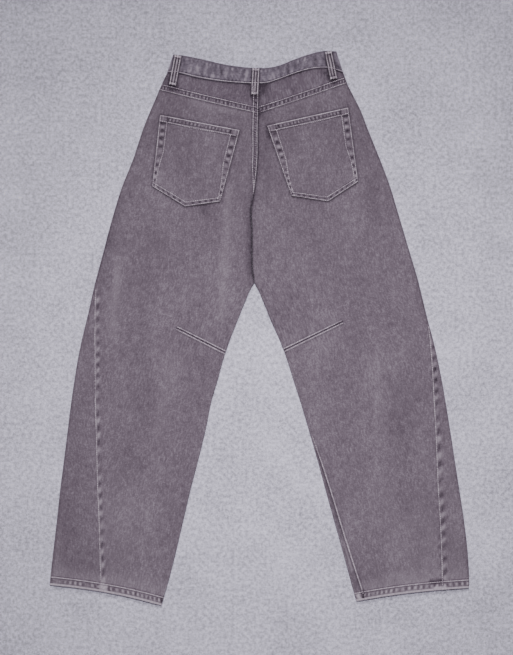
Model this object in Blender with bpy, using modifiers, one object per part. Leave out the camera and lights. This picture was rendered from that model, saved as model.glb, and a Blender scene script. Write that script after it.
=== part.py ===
"""Barrel leg trousers in denim, laid flat with the back upward.

The cloth is two layers: the front panels lie on the floor, the back panels lie
on them, and each leg is a flattened tube. +X is the right of the picture, +Y
points to the waist and +Z is up. Lengths are in millimetres up to the meshes,
which are made in metres. A "row" crosses one leg from its outer edge to its
inner edge; "plan" is the distance along a row as seen from above.
"""

import math
from collections import namedtuple

import bmesh
import bpy
import numpy as np

METRES = 0.001

# Cloth and gaps.
WALL = 1.3
BAND_WALL = 1.7
PATCH_WALL = 1.3
LOOP_WALL = 1.2
SHIELD_WALL = 1.0
SEAM_GAP = 0.3
REST_GAP = 0.4
BAND_GAP = 0.5
CLOSEST_POINTS = 0.02

# The two layers.
FOLD_RADIUS = 1.7
BAND_FOLD_RADIUS = 2.3
LAYER_HEIGHT = 5.0
BAND_HEIGHT = 5.9
OUTER_RAMP = 18.0
LEFT_INNER_RAMP = 16.0
RIGHT_INNER_RAMP = 6.0
BAND_RAMP = 22.0

# The front rises towards the waist so that the button fits under it.
BUTTON_LIFT = 2.6
LIFT_START_Y = 320.0
LIFT_END_Y = 425.0

# Where the centre seams end and the two inner folds begin.
CROTCH_OPEN_Y = 245.0
CROTCH_CLOSED_Y = 205.0

# Where the legs part.
APEX_Y = 83.0

# Finer form, raised in the outer points.
SEAM_RAISE = 0.45
HEM_RAISE = 0.5
DART_RAISE = 0.5
PATCH_RAISE = 0.4
BAND_EDGE_DROP = 0.35
RIDGE_START = 6.0

# Waistband overlap, loops, pockets, fly and button.
BAND_DEPTH = 31.0
BAND_LAP = 44.0
BAND_LAP_STEP = 22.0
LOOP_WIDTH = 13.0
LOOP_STEPS = 12
LOOP_REACH = 5.0
LOOP_CROWN = 0.25
PATCH_EDGE = 12.0
SHIELD_WIDTH = 36.0
SHIELD_TOP_Y = 446.0
SHIELD_END_Y = 300.0
SHIELD_STEPS = 6
BUTTON_RADIUS = 8.5
BUTTON_HEIGHT = 2.3
BUTTON_BEVEL = 0.8
BUTTON_SIDES = 32

QUARTER = FOLD_RADIUS * math.pi / 2
EDGE_COLUMNS = (0.0, 1.2, 2.5, 8.5, 10.0, 18.0)
RIDGE_COLUMNS = (1.0, 1.0, 1.0, 1.0, 0.0, 0.0)
BACK_INNER_COLUMNS = 9
FLOOR_COLUMNS = 8
FRONT_TOP_SHARE = 0.96

Outline = namedtuple("Outline", "y left_outer left_inner right_inner right_outer")
OUTLINE = (
    Outline(y=473.5, left_outer=-169.5, left_inner=-3.0, right_inner=-3.0, right_outer=154.0),
    Outline(y=451.5, left_outer=-180.5, left_inner=-2.5, right_inner=-2.5, right_outer=162.0),
    Outline(y=429.0, left_outer=-189.5, left_inner=-2.0, right_inner=-2.0, right_outer=173.0),
    Outline(y=403.5, left_outer=-200.5, left_inner=-2.5, right_inner=-2.5, right_outer=186.0),
    Outline(y=366.5, left_outer=-215.5, left_inner=-3.5, right_inner=-3.5, right_outer=200.5),
    Outline(y=311.0, left_outer=-234.0, left_inner=-4.0, right_inner=-4.0, right_outer=223.0),
    Outline(y=255.5, left_outer=-256.0, left_inner=-9.5, right_inner=-9.5, right_outer=243.5),
    Outline(y=218.5, left_outer=-267.5, left_inner=-15.5, right_inner=-15.5, right_outer=254.5),
    Outline(y=181.5, left_outer=-278.0, left_inner=-14.0, right_inner=-14.0, right_outer=265.5),
    Outline(y=144.5, left_outer=-287.5, left_inner=-14.0, right_inner=-14.0, right_outer=276.5),
    Outline(y=107.5, left_outer=-297.5, left_inner=-13.0, right_inner=-13.0, right_outer=287.5),
    Outline(y=83.0, left_outer=-304.0, left_inner=-9.5, right_inner=-9.5, right_outer=294.5),
    Outline(y=70.5, left_outer=-307.0, left_inner=-17.0, right_inner=-2.5, right_outer=297.5),
    Outline(y=52.0, left_outer=-311.0, left_inner=-25.0, right_inner=5.5, right_outer=302.0),
    Outline(y=15.0, left_outer=-319.5, left_inner=-40.0, right_inner=20.5, right_outer=311.0),
    Outline(y=-22.0, left_outer=-328.5, left_inner=-54.5, right_inner=37.0, right_outer=321.0),
    Outline(y=-59.0, left_outer=-336.0, left_inner=-67.0, right_inner=51.0, right_outer=329.5),
    Outline(y=-96.0, left_outer=-342.0, left_inner=-77.0, right_inner=62.5, right_outer=337.0),
    Outline(y=-133.0, left_outer=-347.5, left_inner=-88.0, right_inner=74.5, right_outer=343.5),
    Outline(y=-188.5, left_outer=-354.5, left_inner=-99.5, right_inner=91.0, right_outer=352.5),
    Outline(y=-244.0, left_outer=-361.5, left_inner=-113.0, right_inner=107.0, right_outer=361.0),
    Outline(y=-299.5, left_outer=-368.5, left_inner=-127.5, right_inner=122.0, right_outer=369.5),
    Outline(y=-355.0, left_outer=-374.5, left_inner=-140.5, right_inner=137.5, right_outer=378.0),
    Outline(y=-410.5, left_outer=-381.0, left_inner=-153.5, right_inner=153.0, right_outer=384.5),
    Outline(y=-466.0, left_outer=-387.0, left_inner=-167.5, right_inner=168.0, right_outer=387.5),
    Outline(y=-514.5, left_outer=-390.5, left_inner=-181.5, right_inner=181.5, right_outer=386.0),
)

BandEdge = namedtuple("BandEdge", "top_x top_y low_x low_y")
BAND = (
    BandEdge(top_x=-159.5, top_y=504.5, low_x=-170.5, low_y=472.0),
    BandEdge(top_x=-144.5, top_y=503.0, low_x=-153.0, low_y=470.5),
    BandEdge(top_x=-108.0, top_y=496.0, low_x=-114.0, low_y=461.5),
    BandEdge(top_x=-64.0, top_y=486.0, low_x=-65.5, low_y=454.0),
    BandEdge(top_x=-29.0, top_y=481.0, low_x=-30.5, low_y=451.5),
    BandEdge(top_x=-5.5, top_y=479.5, low_x=-6.5, low_y=450.5),
    BandEdge(top_x=10.0, top_y=479.5, low_x=13.0, low_y=451.5),
    BandEdge(top_x=32.5, top_y=483.0, low_x=35.5, low_y=458.5),
    BandEdge(top_x=65.0, top_y=495.5, low_x=68.5, low_y=470.5),
    BandEdge(top_x=94.5, top_y=505.5, low_x=97.5, low_y=478.0),
    BandEdge(top_x=117.0, top_y=510.5, low_x=126.5, low_y=479.0),
    BandEdge(top_x=142.0, top_y=510.5, low_x=154.5, low_y=471.5),
)

# Rows from the waistband to the hem. band_share mixes in the waistband's lower
# edge; bend is the part of the row, from the outer edge, that stays level
# before the row slopes to inner_y; dart and hem say what is raised there.
Row = namedtuple("Row", "outer_y inner_y bow bend band_share yoke dart hem")


def row(outer_y, inner_y, bow=0.0, bend=0.0, band_share=0.0, yoke=0.0, dart=0.0, hem=0.0):
    """Return one row with plain values where none are given."""
    return Row(outer_y, inner_y, bow, bend, band_share, yoke, dart, hem)


LEFT_YOKE_ROWS = (
    row(439.5, 396.0, band_share=1.0),
    row(439.5, 396.0, band_share=0.55),
    row(450.5, 407.0),
    row(449.0, 405.5, yoke=1.0),
    row(439.5, 396.0, yoke=1.0),
)
RIGHT_YOKE_ROWS = (
    row(452.0, 396.0, band_share=1.0),
    row(452.0, 396.0, band_share=0.55),
    row(461.5, 407.0, bow=1.5),
    row(460.0, 405.5, bow=1.5, yoke=1.0),
    row(452.0, 396.0, bow=1.5, yoke=1.0),
)
LEFT_ROWS = (
    row(439.5, 396.0),
    row(417.0, 375.0),
    row(393.0, 359.5),
    row(367.0, 342.5),
    row(340.0, 323.5),
    row(312.0, 301.5),
    row(284.0, 278.5),
    row(258.0, 256.0),
    row(236.0, 236.0),
    row(217.0, 217.0),
    row(198.0, 198.0),
    row(172.0, 172.0),
    row(146.0, 146.0),
    row(120.0, 120.0),
    row(98.0, 98.0),
    row(83.0, 83.0),
    row(72.0, 72.0),
    row(61.0, 56.0, bend=0.5),
    row(46.0, 34.0, bend=0.55),
    row(28.0, 6.0, bend=0.6),
    row(12.0, -22.0, bend=0.62),
    row(3.0, -41.5, bend=0.62),
    row(0.0, -45.5, bend=0.62, dart=1.0),
    row(-3.0, -49.5, bend=0.62),
    row(-14.0, -64.0, bend=0.6),
    row(-34.0, -80.0, bend=0.55),
    row(-60.0, -98.0, bend=0.5),
    row(-90.0, -119.0, bend=0.4),
    row(-120.0, -141.0, bend=0.3),
    row(-150.0, -164.0),
    row(-181.0, -189.0),
    row(-213.0, -216.0),
    row(-245.0, -245.0),
    row(-277.0, -278.0),
    row(-309.0, -312.0),
    row(-341.0, -347.0),
    row(-373.0, -383.0),
    row(-405.0, -421.0, bow=0.5),
    row(-435.0, -459.0, bow=1.5),
    row(-457.0, -497.0, bow=4.5),
    row(-459.0, -499.0, bow=4.5, hem=1.0),
    row(-475.0, -513.0, bow=5.0, hem=1.0),
)
RIGHT_ROWS = (
    row(452.0, 396.0, bow=1.5),
    row(431.0, 375.0, bow=1.0),
    row(405.0, 359.5),
    row(377.0, 342.5),
    row(348.0, 323.5),
    row(318.0, 301.5),
    row(288.0, 278.5),
    row(261.0, 256.0),
    row(236.0, 236.0),
    row(217.0, 217.0),
    row(198.0, 198.0),
    row(172.0, 172.0),
    row(146.0, 146.0),
    row(120.0, 120.0),
    row(98.0, 98.0),
    row(83.0, 83.0),
    row(76.0, 72.0, bend=0.4),
    row(66.0, 56.0, bend=0.45),
    row(52.0, 35.0, bend=0.5),
    row(36.0, 8.0, bend=0.55),
    row(22.0, -18.0, bend=0.55),
    row(14.5, -35.0, bend=0.55),
    row(11.5, -39.0, bend=0.55, dart=1.0),
    row(8.5, -43.0, bend=0.55),
    row(-4.0, -58.0, bend=0.55),
    row(-25.0, -75.0, bend=0.5),
    row(-52.0, -94.0, bend=0.45),
    row(-83.0, -116.0, bend=0.4),
    row(-115.0, -139.0, bend=0.3),
    row(-147.0, -163.0),
    row(-180.0, -189.0),
    row(-213.0, -217.0),
    row(-246.0, -247.0),
    row(-279.0, -281.0),
    row(-312.0, -316.0),
    row(-345.0, -352.0),
    row(-378.0, -388.0),
    row(-410.0, -424.0, bow=1.0),
    row(-440.0, -460.0, bow=3.0),
    row(-462.0, -485.0, bow=3.0),
    row(-464.0, -487.0, bow=3.0, hem=1.0),
    row(-480.5, -505.0, bow=3.5, hem=1.0),
)

# How far a seam runs from the edge, on the upper face, as seen from above.
SeamPoint = namedtuple("SeamPoint", "y from_edge")
LEFT_OUTSEAM = (
    SeamPoint(y=83.0, from_edge=2.3),
    SeamPoint(y=55.5, from_edge=6.2),
    SeamPoint(y=20.5, from_edge=13.3),
    SeamPoint(y=-39.0, from_edge=27.1),
    SeamPoint(y=-157.0, from_edge=47.1),
    SeamPoint(y=-272.0, from_edge=64.7),
    SeamPoint(y=-377.5, from_edge=80.6),
    SeamPoint(y=-484.5, from_edge=95.4),
)
RIGHT_OUTSEAM = (
    SeamPoint(y=15.0, from_edge=2.3),
    SeamPoint(y=-9.0, from_edge=4.8),
    SeamPoint(y=-43.5, from_edge=10.0),
    SeamPoint(y=-119.0, from_edge=20.5),
    SeamPoint(y=-198.0, from_edge=29.0),
    SeamPoint(y=-312.0, from_edge=41.4),
    SeamPoint(y=-431.0, from_edge=50.0),
    SeamPoint(y=-488.0, from_edge=51.0),
)
RIGHT_INSEAM = (
    SeamPoint(y=-116.0, from_edge=0.0),
    SeamPoint(y=-139.0, from_edge=0.35),
    SeamPoint(y=-163.0, from_edge=0.85),
    SeamPoint(y=-189.0, from_edge=1.5),
    SeamPoint(y=-217.0, from_edge=3.2),
    SeamPoint(y=-301.0, from_edge=8.1),
    SeamPoint(y=-395.0, from_edge=10.5),
    SeamPoint(y=-499.5, from_edge=16.0),
)

# Soft folds of both layers: a line, its half width and its height.
Fold = namedtuple("Fold", "start_x start_y end_x end_y half_width rise")
FOLDS = (
    Fold(start_x=-51.0, start_y=250.0, end_x=-70.0, end_y=40.0, half_width=15.0, rise=0.7),
    Fold(start_x=-266.0, start_y=150.0, end_x=-278.0, end_y=-30.0, half_width=14.0, rise=0.7),
    Fold(start_x=-212.0, start_y=60.0, end_x=-216.0, end_y=-200.0, half_width=18.0, rise=-0.5),
    Fold(start_x=-150.0, start_y=-20.0, end_x=-192.0, end_y=-190.0, half_width=16.0, rise=0.5),
    Fold(start_x=-106.0, start_y=238.0, end_x=-98.0, end_y=205.0, half_width=13.0, rise=-0.4),
    Fold(start_x=10.0, start_y=330.0, end_x=6.0, end_y=215.0, half_width=9.0, rise=-0.4),
    Fold(start_x=262.0, start_y=-90.0, end_x=272.0, end_y=-330.0, half_width=18.0, rise=-0.5),
    Fold(start_x=208.0, start_y=-60.0, end_x=226.0, end_y=-220.0, half_width=18.0, rise=0.5),
    Fold(start_x=148.0, start_y=140.0, end_x=170.0, end_y=40.0, half_width=20.0, rise=0.45),
    Fold(start_x=-250.0, start_y=-250.0, end_x=-240.0, end_y=-400.0, half_width=16.0, rise=-0.4),
)

Pocket = namedtuple("Pocket", "name top_outer top_inner low_inner tip low_outer")
POCKETS = (
    Pocket(
        name="pocket_left",
        top_outer=(-183.5, 393.0),
        top_inner=(-36.5, 365.0),
        low_inner=(-72.5, 233.5),
        tip=(-137.5, 224.0),
        low_outer=(-198.0, 261.5),
    ),
    Pocket(
        name="pocket_right",
        top_outer=(163.5, 406.5),
        top_inner=(14.0, 373.0),
        low_inner=(59.0, 244.0),
        tip=(126.5, 233.5),
        low_outer=(182.0, 270.0),
    ),
)

Loop = namedtuple("Loop", "name top_x top_y low_x low_y front")
LOOPS = (
    Loop(name="loop_back_left", top_x=-150.0, top_y=503.0, low_x=-160.5, low_y=447.5, front=False),
    Loop(name="loop_back_middle", top_x=-6.5, top_y=479.0, low_x=-9.0, low_y=430.0, front=False),
    Loop(name="loop_back_right", top_x=126.5, top_y=510.0, low_x=137.0, low_y=458.5, front=False),
    Loop(name="loop_front_left", top_x=-84.0, top_y=490.0, low_x=-86.0, low_y=440.0, front=True),
    Loop(name="loop_front_right", top_x=80.0, top_y=500.5, low_x=84.0, low_y=450.5, front=True),
)

# How far along a pocket its rows and columns stand, as parts of its size.
PATCH_INSIDE = (0.25, 0.42, 0.58, 0.75)
BAND_LEVELS = (0.0, 0.08, 0.5, 0.92, 1.0)
BAND_DROPS = (1.0, 0.0, 0.0, 0.0, 1.0)
BAND_RUN_STEPS = 22
BAND_ARC_STEPS = 4

Finish = namedtuple("Finish", "colour roughness metallic")
DENIM = Finish(colour=(0.188, 0.152, 0.192), roughness=0.92, metallic=0.0)
DENIM_FRONT = Finish(colour=(0.170, 0.138, 0.176), roughness=0.92, metallic=0.0)
METAL = Finish(colour=(0.36, 0.35, 0.34), roughness=0.38, metallic=1.0)


def smooth(amount):
    """Return an eased 0 to 1 step of amount, held outside that range."""
    held = min(max(amount, 0.0), 1.0)
    return held * held * (3.0 - 2.0 * held)


def mix(first, second, share):
    """Return the value share of the way from first to second."""
    return first + (second - first) * share


class Curve:
    """A smooth curve through the points of a table, straight beyond its ends."""

    def __init__(self, places, values):
        order = np.argsort(places)
        self.places = np.asarray(places, dtype=float)[order]
        self.values = np.asarray(values, dtype=float)[order]
        self.slopes = np.gradient(self.values, self.places)

    def at(self, place):
        """Return the value at one place."""
        if place <= self.places[0]:
            return self.values[0] + self.slopes[0] * (place - self.places[0])
        if place >= self.places[-1]:
            return self.values[-1] + self.slopes[-1] * (place - self.places[-1])
        start = int(np.searchsorted(self.places, place)) - 1
        width = self.places[start + 1] - self.places[start]
        along = (place - self.places[start]) / width
        square = along * along
        cube = square * along
        return (
            (2 * cube - 3 * square + 1) * self.values[start]
            + (cube - 2 * square + along) * width * self.slopes[start]
            + (3 * square - 2 * cube) * self.values[start + 1]
            + (cube - square) * width * self.slopes[start + 1]
        )


def column(table, name):
    """Return one named column of a table."""
    return [getattr(line, name) for line in table]


LOW_EDGE = Curve(column(BAND, "low_x"), column(BAND, "low_y"))
TOGETHER = [line for line in OUTLINE if line.y >= APEX_Y]
APART = [line for line in OUTLINE if line.y <= APEX_Y]
MIDDLE = Curve(column(TOGETHER, "y"), column(TOGETHER, "left_inner"))


def lift(y):
    """Return how far the front's underside stands off the floor."""
    return BUTTON_LIFT * smooth((y - LIFT_START_Y) / (LIFT_END_Y - LIFT_START_Y))


def closed(y):
    """Return 0 where the centre seams join the halves and 1 in the legs."""
    return smooth((CROTCH_OPEN_Y - y) / (CROTCH_OPEN_Y - CROTCH_CLOSED_Y))


def fold_height(x, y):
    """Return the height that the soft folds add at a place."""
    total = 0.0
    for fold in FOLDS:
        across_x = fold.end_x - fold.start_x
        across_y = fold.end_y - fold.start_y
        span = across_x * across_x + across_y * across_y
        along = ((x - fold.start_x) * across_x + (y - fold.start_y) * across_y) / span
        held = min(max(along, 0.0), 1.0)
        off_x = x - fold.start_x - held * across_x
        off_y = y - fold.start_y - held * across_y
        away = math.hypot(off_x, off_y) / fold.half_width
        total += fold.rise * math.exp(-away * away)
    return total


class Leg:
    """One half of the trousers: its outline, its rows and its heights."""

    def __init__(self, side, yoke_rows, rows, outseam, inseam, inner_ramp, ridge_on_back):
        inward = 1.0 if side == "left" else -1.0
        self.side = side
        self.inward = inward
        self.yoke_rows = yoke_rows
        self.rows = rows
        self.inner_ramp = inner_ramp
        self.ridge_on_back = ridge_on_back
        self.outer = Curve(column(OUTLINE, "y"), column(OUTLINE, side + "_outer"))
        self.inner_leg = Curve(column(APART, "y"), column(APART, side + "_inner"))
        self.outseam = seam_curve(outseam)
        self.inseam = seam_curve(inseam) if inseam else None

    def inner(self, y):
        """Return the inner edge, which both halves share above the legs."""
        return MIDDLE.at(y) if y >= APEX_Y else self.inner_leg.at(y)

    def inner_x(self, y):
        """Return the inner edge, half a seam gap short of the other half."""
        return self.inner(y) - self.inward * SEAM_GAP / 2

    def level_point(self, line, share):
        """Return a row's point, at a share of the way to its inner edge."""
        sloping = max(0.0, (share - line.bend) / (1.0 - line.bend))
        y = mix(line.outer_y, line.inner_y, sloping) + line.bow * 4 * share * (1 - share)
        return mix(self.outer.at(y), self.inner_x(y), share), y

    def point(self, line, share):
        """Return a row's point with the waistband's edge mixed in."""
        x, y = self.level_point(line, share)
        if line.band_share == 0.0:
            return x, y
        end_y = BAND[0].low_y if self.side == "left" else BAND[-1].low_y
        middle_y = BAND[len(BAND) // 2].low_y
        band_x = mix(self.outer.at(end_y), self.inner_x(middle_y), share)
        band_y = LOW_EDGE.at(band_x) - BAND_GAP
        return mix(x, band_x, line.band_share), mix(y, band_y, line.band_share)

    def top_z(self, x, y):
        """Return the plain height of the upper layer's outer face."""
        from_outer = self.inward * (x - self.outer.at(y))
        from_inner = self.inward * (self.inner(y) - x)
        outer_rise = smooth((from_outer - FOLD_RADIUS) / OUTER_RAMP)
        inner_rise = mix(1.0, smooth((from_inner - FOLD_RADIUS) / self.inner_ramp), closed(y))
        edge = lift(y) + 2 * FOLD_RADIUS
        flat = lift(y) + LAYER_HEIGHT + fold_height(x, y)
        return mix(edge, flat, outer_rise * inner_rise)

    def seam_place(self, line):
        """Return how far the side seam lies from the outer fold's middle."""
        y = self.point(line, 0.0)[1]
        return around(self.outseam.at(min(y, self.outseam.places[-1])))

    def inseam_place(self, line):
        """Return how far the inseam lies from the inner fold's middle."""
        y = self.point(line, 1.0)[1]
        if self.inseam is None or y >= self.inseam.places[-1]:
            return 0.0
        return around(self.inseam.at(y))


def seam_curve(table):
    """Return the curve of a seam's distance from the edge."""
    return Curve(column(table, "y"), column(table, "from_edge"))


def around(plan):
    """Return the distance over a fold for a distance seen from above."""
    if plan < FOLD_RADIUS:
        return FOLD_RADIUS * math.acos(1.0 - max(plan, 0.0) / FOLD_RADIUS)
    return QUARTER + plan - FOLD_RADIUS


class Section:
    """One row of a leg, which gives points around its flattened tube."""

    def __init__(self, leg, line):
        self.leg = leg
        self.line = line
        outer_x, outer_y = leg.point(line, 0.0)
        inner_x, inner_y = leg.point(line, 1.0)
        self.width = abs(inner_x - outer_x)
        self.over = self.width - 2 * FOLD_RADIUS + 2 * QUARTER
        self.outer_lift = lift(outer_y)
        self.inner_lift = lift(inner_y)
        self.closed = closed(inner_y)

    def place(self, plan):
        """Return x and y at a plan distance from the outer edge."""
        return self.leg.point(self.line, plan / self.width)

    def fold(self, angle, inside):
        """Return a fold's plan distance and height for an angle over its middle."""
        radius = FOLD_RADIUS - WALL if inside else FOLD_RADIUS
        return FOLD_RADIUS - radius * math.cos(angle), FOLD_RADIUS + radius * math.sin(angle)

    def over_top(self, away, inside, raised=0.0):
        """Return a point of the upper layer, away from the outer fold's middle."""
        if away < QUARTER:
            plan, height = self.fold(away / FOLD_RADIUS, inside)
            x, y = self.place(plan)
            return x, y, self.outer_lift + height
        back = self.over - away
        if back < QUARTER:
            return self.inner_end(back, inside, raised, True)
        x, y = self.place(FOLD_RADIUS + away - QUARTER)
        change = -WALL if inside else raised
        return x, y, self.leg.top_z(x, y) + change

    def under(self, away, inside):
        """Return a point of the lower layer beside the outer fold."""
        plan, height = self.fold(-min(away, QUARTER) / FOLD_RADIUS, inside)
        x, y = self.place(plan)
        return x, y, self.outer_lift + height

    def floor(self, share, inside):
        """Return a point of the lower layer between its folds."""
        plan = mix(FOLD_RADIUS, self.width - FOLD_RADIUS, share)
        x, y = self.place(plan)
        return x, y, lift(y) + (WALL if inside else 0.0)

    def inner_end(self, back, inside, raised, upper):
        """Return a point by the inner edge: a fold in a leg, a cut at the seam."""
        sign = 1.0 if upper else -1.0
        plan, height = self.fold(sign * back / FOLD_RADIUS, inside)
        fold_x, fold_y = self.place(self.width - plan)
        cut_x, cut_y = self.place(self.width - FOLD_RADIUS * back / QUARTER)
        if upper:
            cut_z = self.leg.top_z(cut_x, cut_y) + (-WALL if inside else raised)
        else:
            cut_z = lift(cut_y) + (WALL if inside else 0.0)
        return (
            mix(cut_x, fold_x, self.closed),
            mix(cut_y, fold_y, self.closed),
            mix(cut_z, self.inner_lift + height, self.closed),
        )


LEFT = Leg("left", LEFT_YOKE_ROWS, LEFT_ROWS, LEFT_OUTSEAM, None, LEFT_INNER_RAMP, True)
RIGHT = Leg(
    "right", RIGHT_YOKE_ROWS, RIGHT_ROWS, RIGHT_OUTSEAM, RIGHT_INSEAM, RIGHT_INNER_RAMP, False
)


def leg_at(x, y):
    """Return the half of the trousers that a place lies on."""
    return LEFT if x < LEFT.inner(y) else RIGHT


def in_panel(lines, shift_first, shift_last):
    """Return rows whose first and last ones leave half a seam gap."""
    kept = list(lines)
    first = kept[0]
    last = kept[-1]
    if first.band_share == 0.0:
        kept[0] = first._replace(
            outer_y=first.outer_y - shift_first, inner_y=first.inner_y - shift_first
        )
    kept[-1] = last._replace(
        outer_y=last.outer_y + shift_last, inner_y=last.inner_y + shift_last
    )
    return kept


def upper_row(section, ridge_on_back):
    """Return a row's outer and inner points across the upper layer."""
    leg = section.leg
    line = section.line
    start = leg.seam_place(line) + SEAM_GAP / 2
    end = leg.inseam_place(line) + SEAM_GAP / 2
    seam_ridge = smooth((start - QUARTER) / RIDGE_START) if ridge_on_back else 0.0
    middle_ridge = 1.0 - section.closed if leg.side == "left" else 0.0
    places = [start + step for step in EDGE_COLUMNS]
    ridges = [seam_ridge * share for share in RIDGE_COLUMNS]
    first = places[-1]
    last = section.over - end - EDGE_COLUMNS[-1]
    for step in range(1, BACK_INNER_COLUMNS):
        places.append(mix(first, last, step / BACK_INNER_COLUMNS))
        ridges.append(0.0)
    for step, share in zip(reversed(EDGE_COLUMNS), reversed(RIDGE_COLUMNS)):
        places.append(section.over - end - step)
        ridges.append(middle_ridge * share)
    outer = []
    inner = []
    for place, ridge in zip(places, ridges):
        share = place / section.over
        raised = max(
            SEAM_RAISE * ridge,
            SEAM_RAISE * line.yoke,
            HEM_RAISE * line.hem,
            DART_RAISE * line.dart * smooth((share - line.bend) / (1.0 - line.bend)),
        )
        outer.append(section.over_top(place, False, raised))
        inner.append(section.over_top(place, True))
    return outer, inner


def lower_row(section, ridge_on_front):
    """Return a row's points from the side seam round under to the inseam."""
    leg = section.leg
    seam = leg.seam_place(section.line) - SEAM_GAP / 2
    inseam = leg.inseam_place(section.line) - SEAM_GAP / 2
    ridge = smooth((seam - QUARTER) / RIDGE_START) if ridge_on_front else 0.0
    hem = HEM_RAISE * section.line.hem
    faces = []
    for inside in (False, True):
        points = []
        for step, share in zip(EDGE_COLUMNS, RIDGE_COLUMNS):
            place = max(seam - step, min(seam, QUARTER))
            points.append(section.over_top(place, inside, max(ridge * share * SEAM_RAISE, hem))
                          if place >= 0.0 else section.under(-place, inside))
        for angle_share in (1.0, 0.5, 0.0, -0.5, -1.0):
            place = min(angle_share * QUARTER, seam)
            points.append(section.over_top(place, inside, hem)
                          if place >= 0.0 else section.under(-place, inside))
        for step in range(1, FLOOR_COLUMNS):
            points.append(section.floor(step / FLOOR_COLUMNS, inside))
        for angle_share in (-1.0, -0.5, 0.0, 0.5, 1.0):
            place = min(angle_share * QUARTER, inseam)
            points.append(section.inner_end(abs(place), inside, hem, place >= 0.0))
        for share in (0.5, 1.0):
            place = mix(min(inseam, QUARTER), inseam, share)
            if place > QUARTER:
                points.append(section.over_top(section.over - place, inside, hem))
            else:
                points.append(section.inner_end(abs(place), inside, hem, place >= 0.0))
        faces.append(points)
    return faces


def new_material(name, finish):
    """Return a material with one Principled shader."""
    material = bpy.data.materials.new(name)
    material.use_nodes = True
    shader = material.node_tree.nodes["Principled BSDF"]
    shader.inputs["Base Color"].default_value = (*finish.colour, 1.0)
    shader.inputs["Roughness"].default_value = finish.roughness
    shader.inputs["Metallic"].default_value = finish.metallic
    material.diffuse_color = (*finish.colour, 1.0)
    return material


def add_object(name, mesh, finish, collection):
    """Put a mesh in the collection under its name, with its own material."""
    thing = bpy.data.objects.new(name, mesh)
    mesh.materials.append(new_material(name + "_finish", finish))
    collection.objects.link(thing)
    return thing


def walled(name, outer, inner, finish, collection):
    """Make one closed body between an outer and an inner grid of points."""
    form = bmesh.new()
    known = {}

    def vertex(point):
        key = tuple(round(value / CLOSEST_POINTS) for value in point)
        if key not in known:
            known[key] = form.verts.new([value * METRES for value in point])
        return known[key]

    def face(*points):
        corners = []
        for point in points:
            corner = vertex(point)
            if corner not in corners:
                corners.append(corner)
        if len(corners) > 2:
            form.faces.new(corners)

    last_row = len(outer) - 1
    last_column = len(outer[0]) - 1
    for i in range(last_row):
        for j in range(last_column):
            face(outer[i][j], outer[i + 1][j], outer[i + 1][j + 1], outer[i][j + 1])
            face(inner[i][j], inner[i][j + 1], inner[i + 1][j + 1], inner[i + 1][j])
        for j in (0, last_column):
            face(outer[i][j], inner[i][j], inner[i + 1][j], outer[i + 1][j])
    for i in (0, last_row):
        for j in range(last_column):
            face(outer[i][j], outer[i][j + 1], inner[i][j + 1], inner[i][j])
    bmesh.ops.recalc_face_normals(form, faces=form.faces)
    mesh = bpy.data.meshes.new(name)
    form.to_mesh(mesh)
    form.free()
    return add_object(name, mesh, finish, collection)


def make_back(leg, collection):
    """Make a back panel, from the yoke seam to the hem."""
    outer = []
    inner = []
    for line in in_panel(leg.rows, SEAM_GAP, 0.0):
        faces = upper_row(Section(leg, line), leg.ridge_on_back)
        outer.append(faces[0])
        inner.append(faces[1])
    walled("back_" + leg.side, outer, inner, DENIM, collection)


def make_yoke(leg, collection):
    """Make a yoke, from the waistband to the yoke seam."""
    outer = []
    inner = []
    for line in leg.yoke_rows:
        faces = upper_row(Section(leg, line), False)
        outer.append(faces[0])
        inner.append(faces[1])
    walled("yoke_" + leg.side, outer, inner, DENIM, collection)


def make_front(leg, collection):
    """Make a front panel, which reaches round the folds to the back."""
    outer = []
    inner = []
    top = leg.yoke_rows[0]._replace(band_share=FRONT_TOP_SHARE)
    for line in (top, *leg.yoke_rows[1:-1], *leg.rows):
        faces = lower_row(Section(leg, line._replace(yoke=0.0)), not leg.ridge_on_back)
        outer.append(faces[0])
        inner.append(faces[1])
    walled("front_" + leg.side, outer, inner, DENIM_FRONT, collection)


class BandPath:
    """The waistband: its edges seen from above and its height."""

    def __init__(self):
        top_x = np.array(column(BAND, "top_x"))
        steps = np.hypot(np.diff(top_x), np.diff(column(BAND, "top_y")))
        along = np.concatenate(([0.0], np.cumsum(steps)))
        self.length = along[-1]
        self.top_x = Curve(along, column(BAND, "top_x"))
        self.top_y = Curve(along, column(BAND, "top_y"))
        self.low_x = Curve(along, column(BAND, "low_x"))

    def place(self, along, level):
        """Return x and y at a distance from the left end and a level up the band."""
        low_x = self.low_x.at(along)
        low_y = LOW_EDGE.at(low_x)
        x = mix(low_x, self.top_x.at(along), level)
        y = mix(low_y, self.top_y.at(along), level)
        return x, y

    def along_at(self, x, y):
        """Return the distance from the left end at which a place lies."""
        level = min(max((y - LOW_EDGE.at(x)) / BAND_DEPTH, 0.0), 1.0)
        across = mix(np.array(column(BAND, "low_x")), np.array(column(BAND, "top_x")), level)
        return float(np.interp(x, across, self.top_x.places))

    def top_z(self, along):
        """Return the plain height of the band's upper face."""
        from_end = min(along, self.length - along) - BAND_FOLD_RADIUS
        edge = 2 * BAND_FOLD_RADIUS
        return BUTTON_LIFT + mix(edge, BAND_HEIGHT, smooth(from_end / BAND_RAMP))


BAND_PATH = BandPath()


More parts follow.
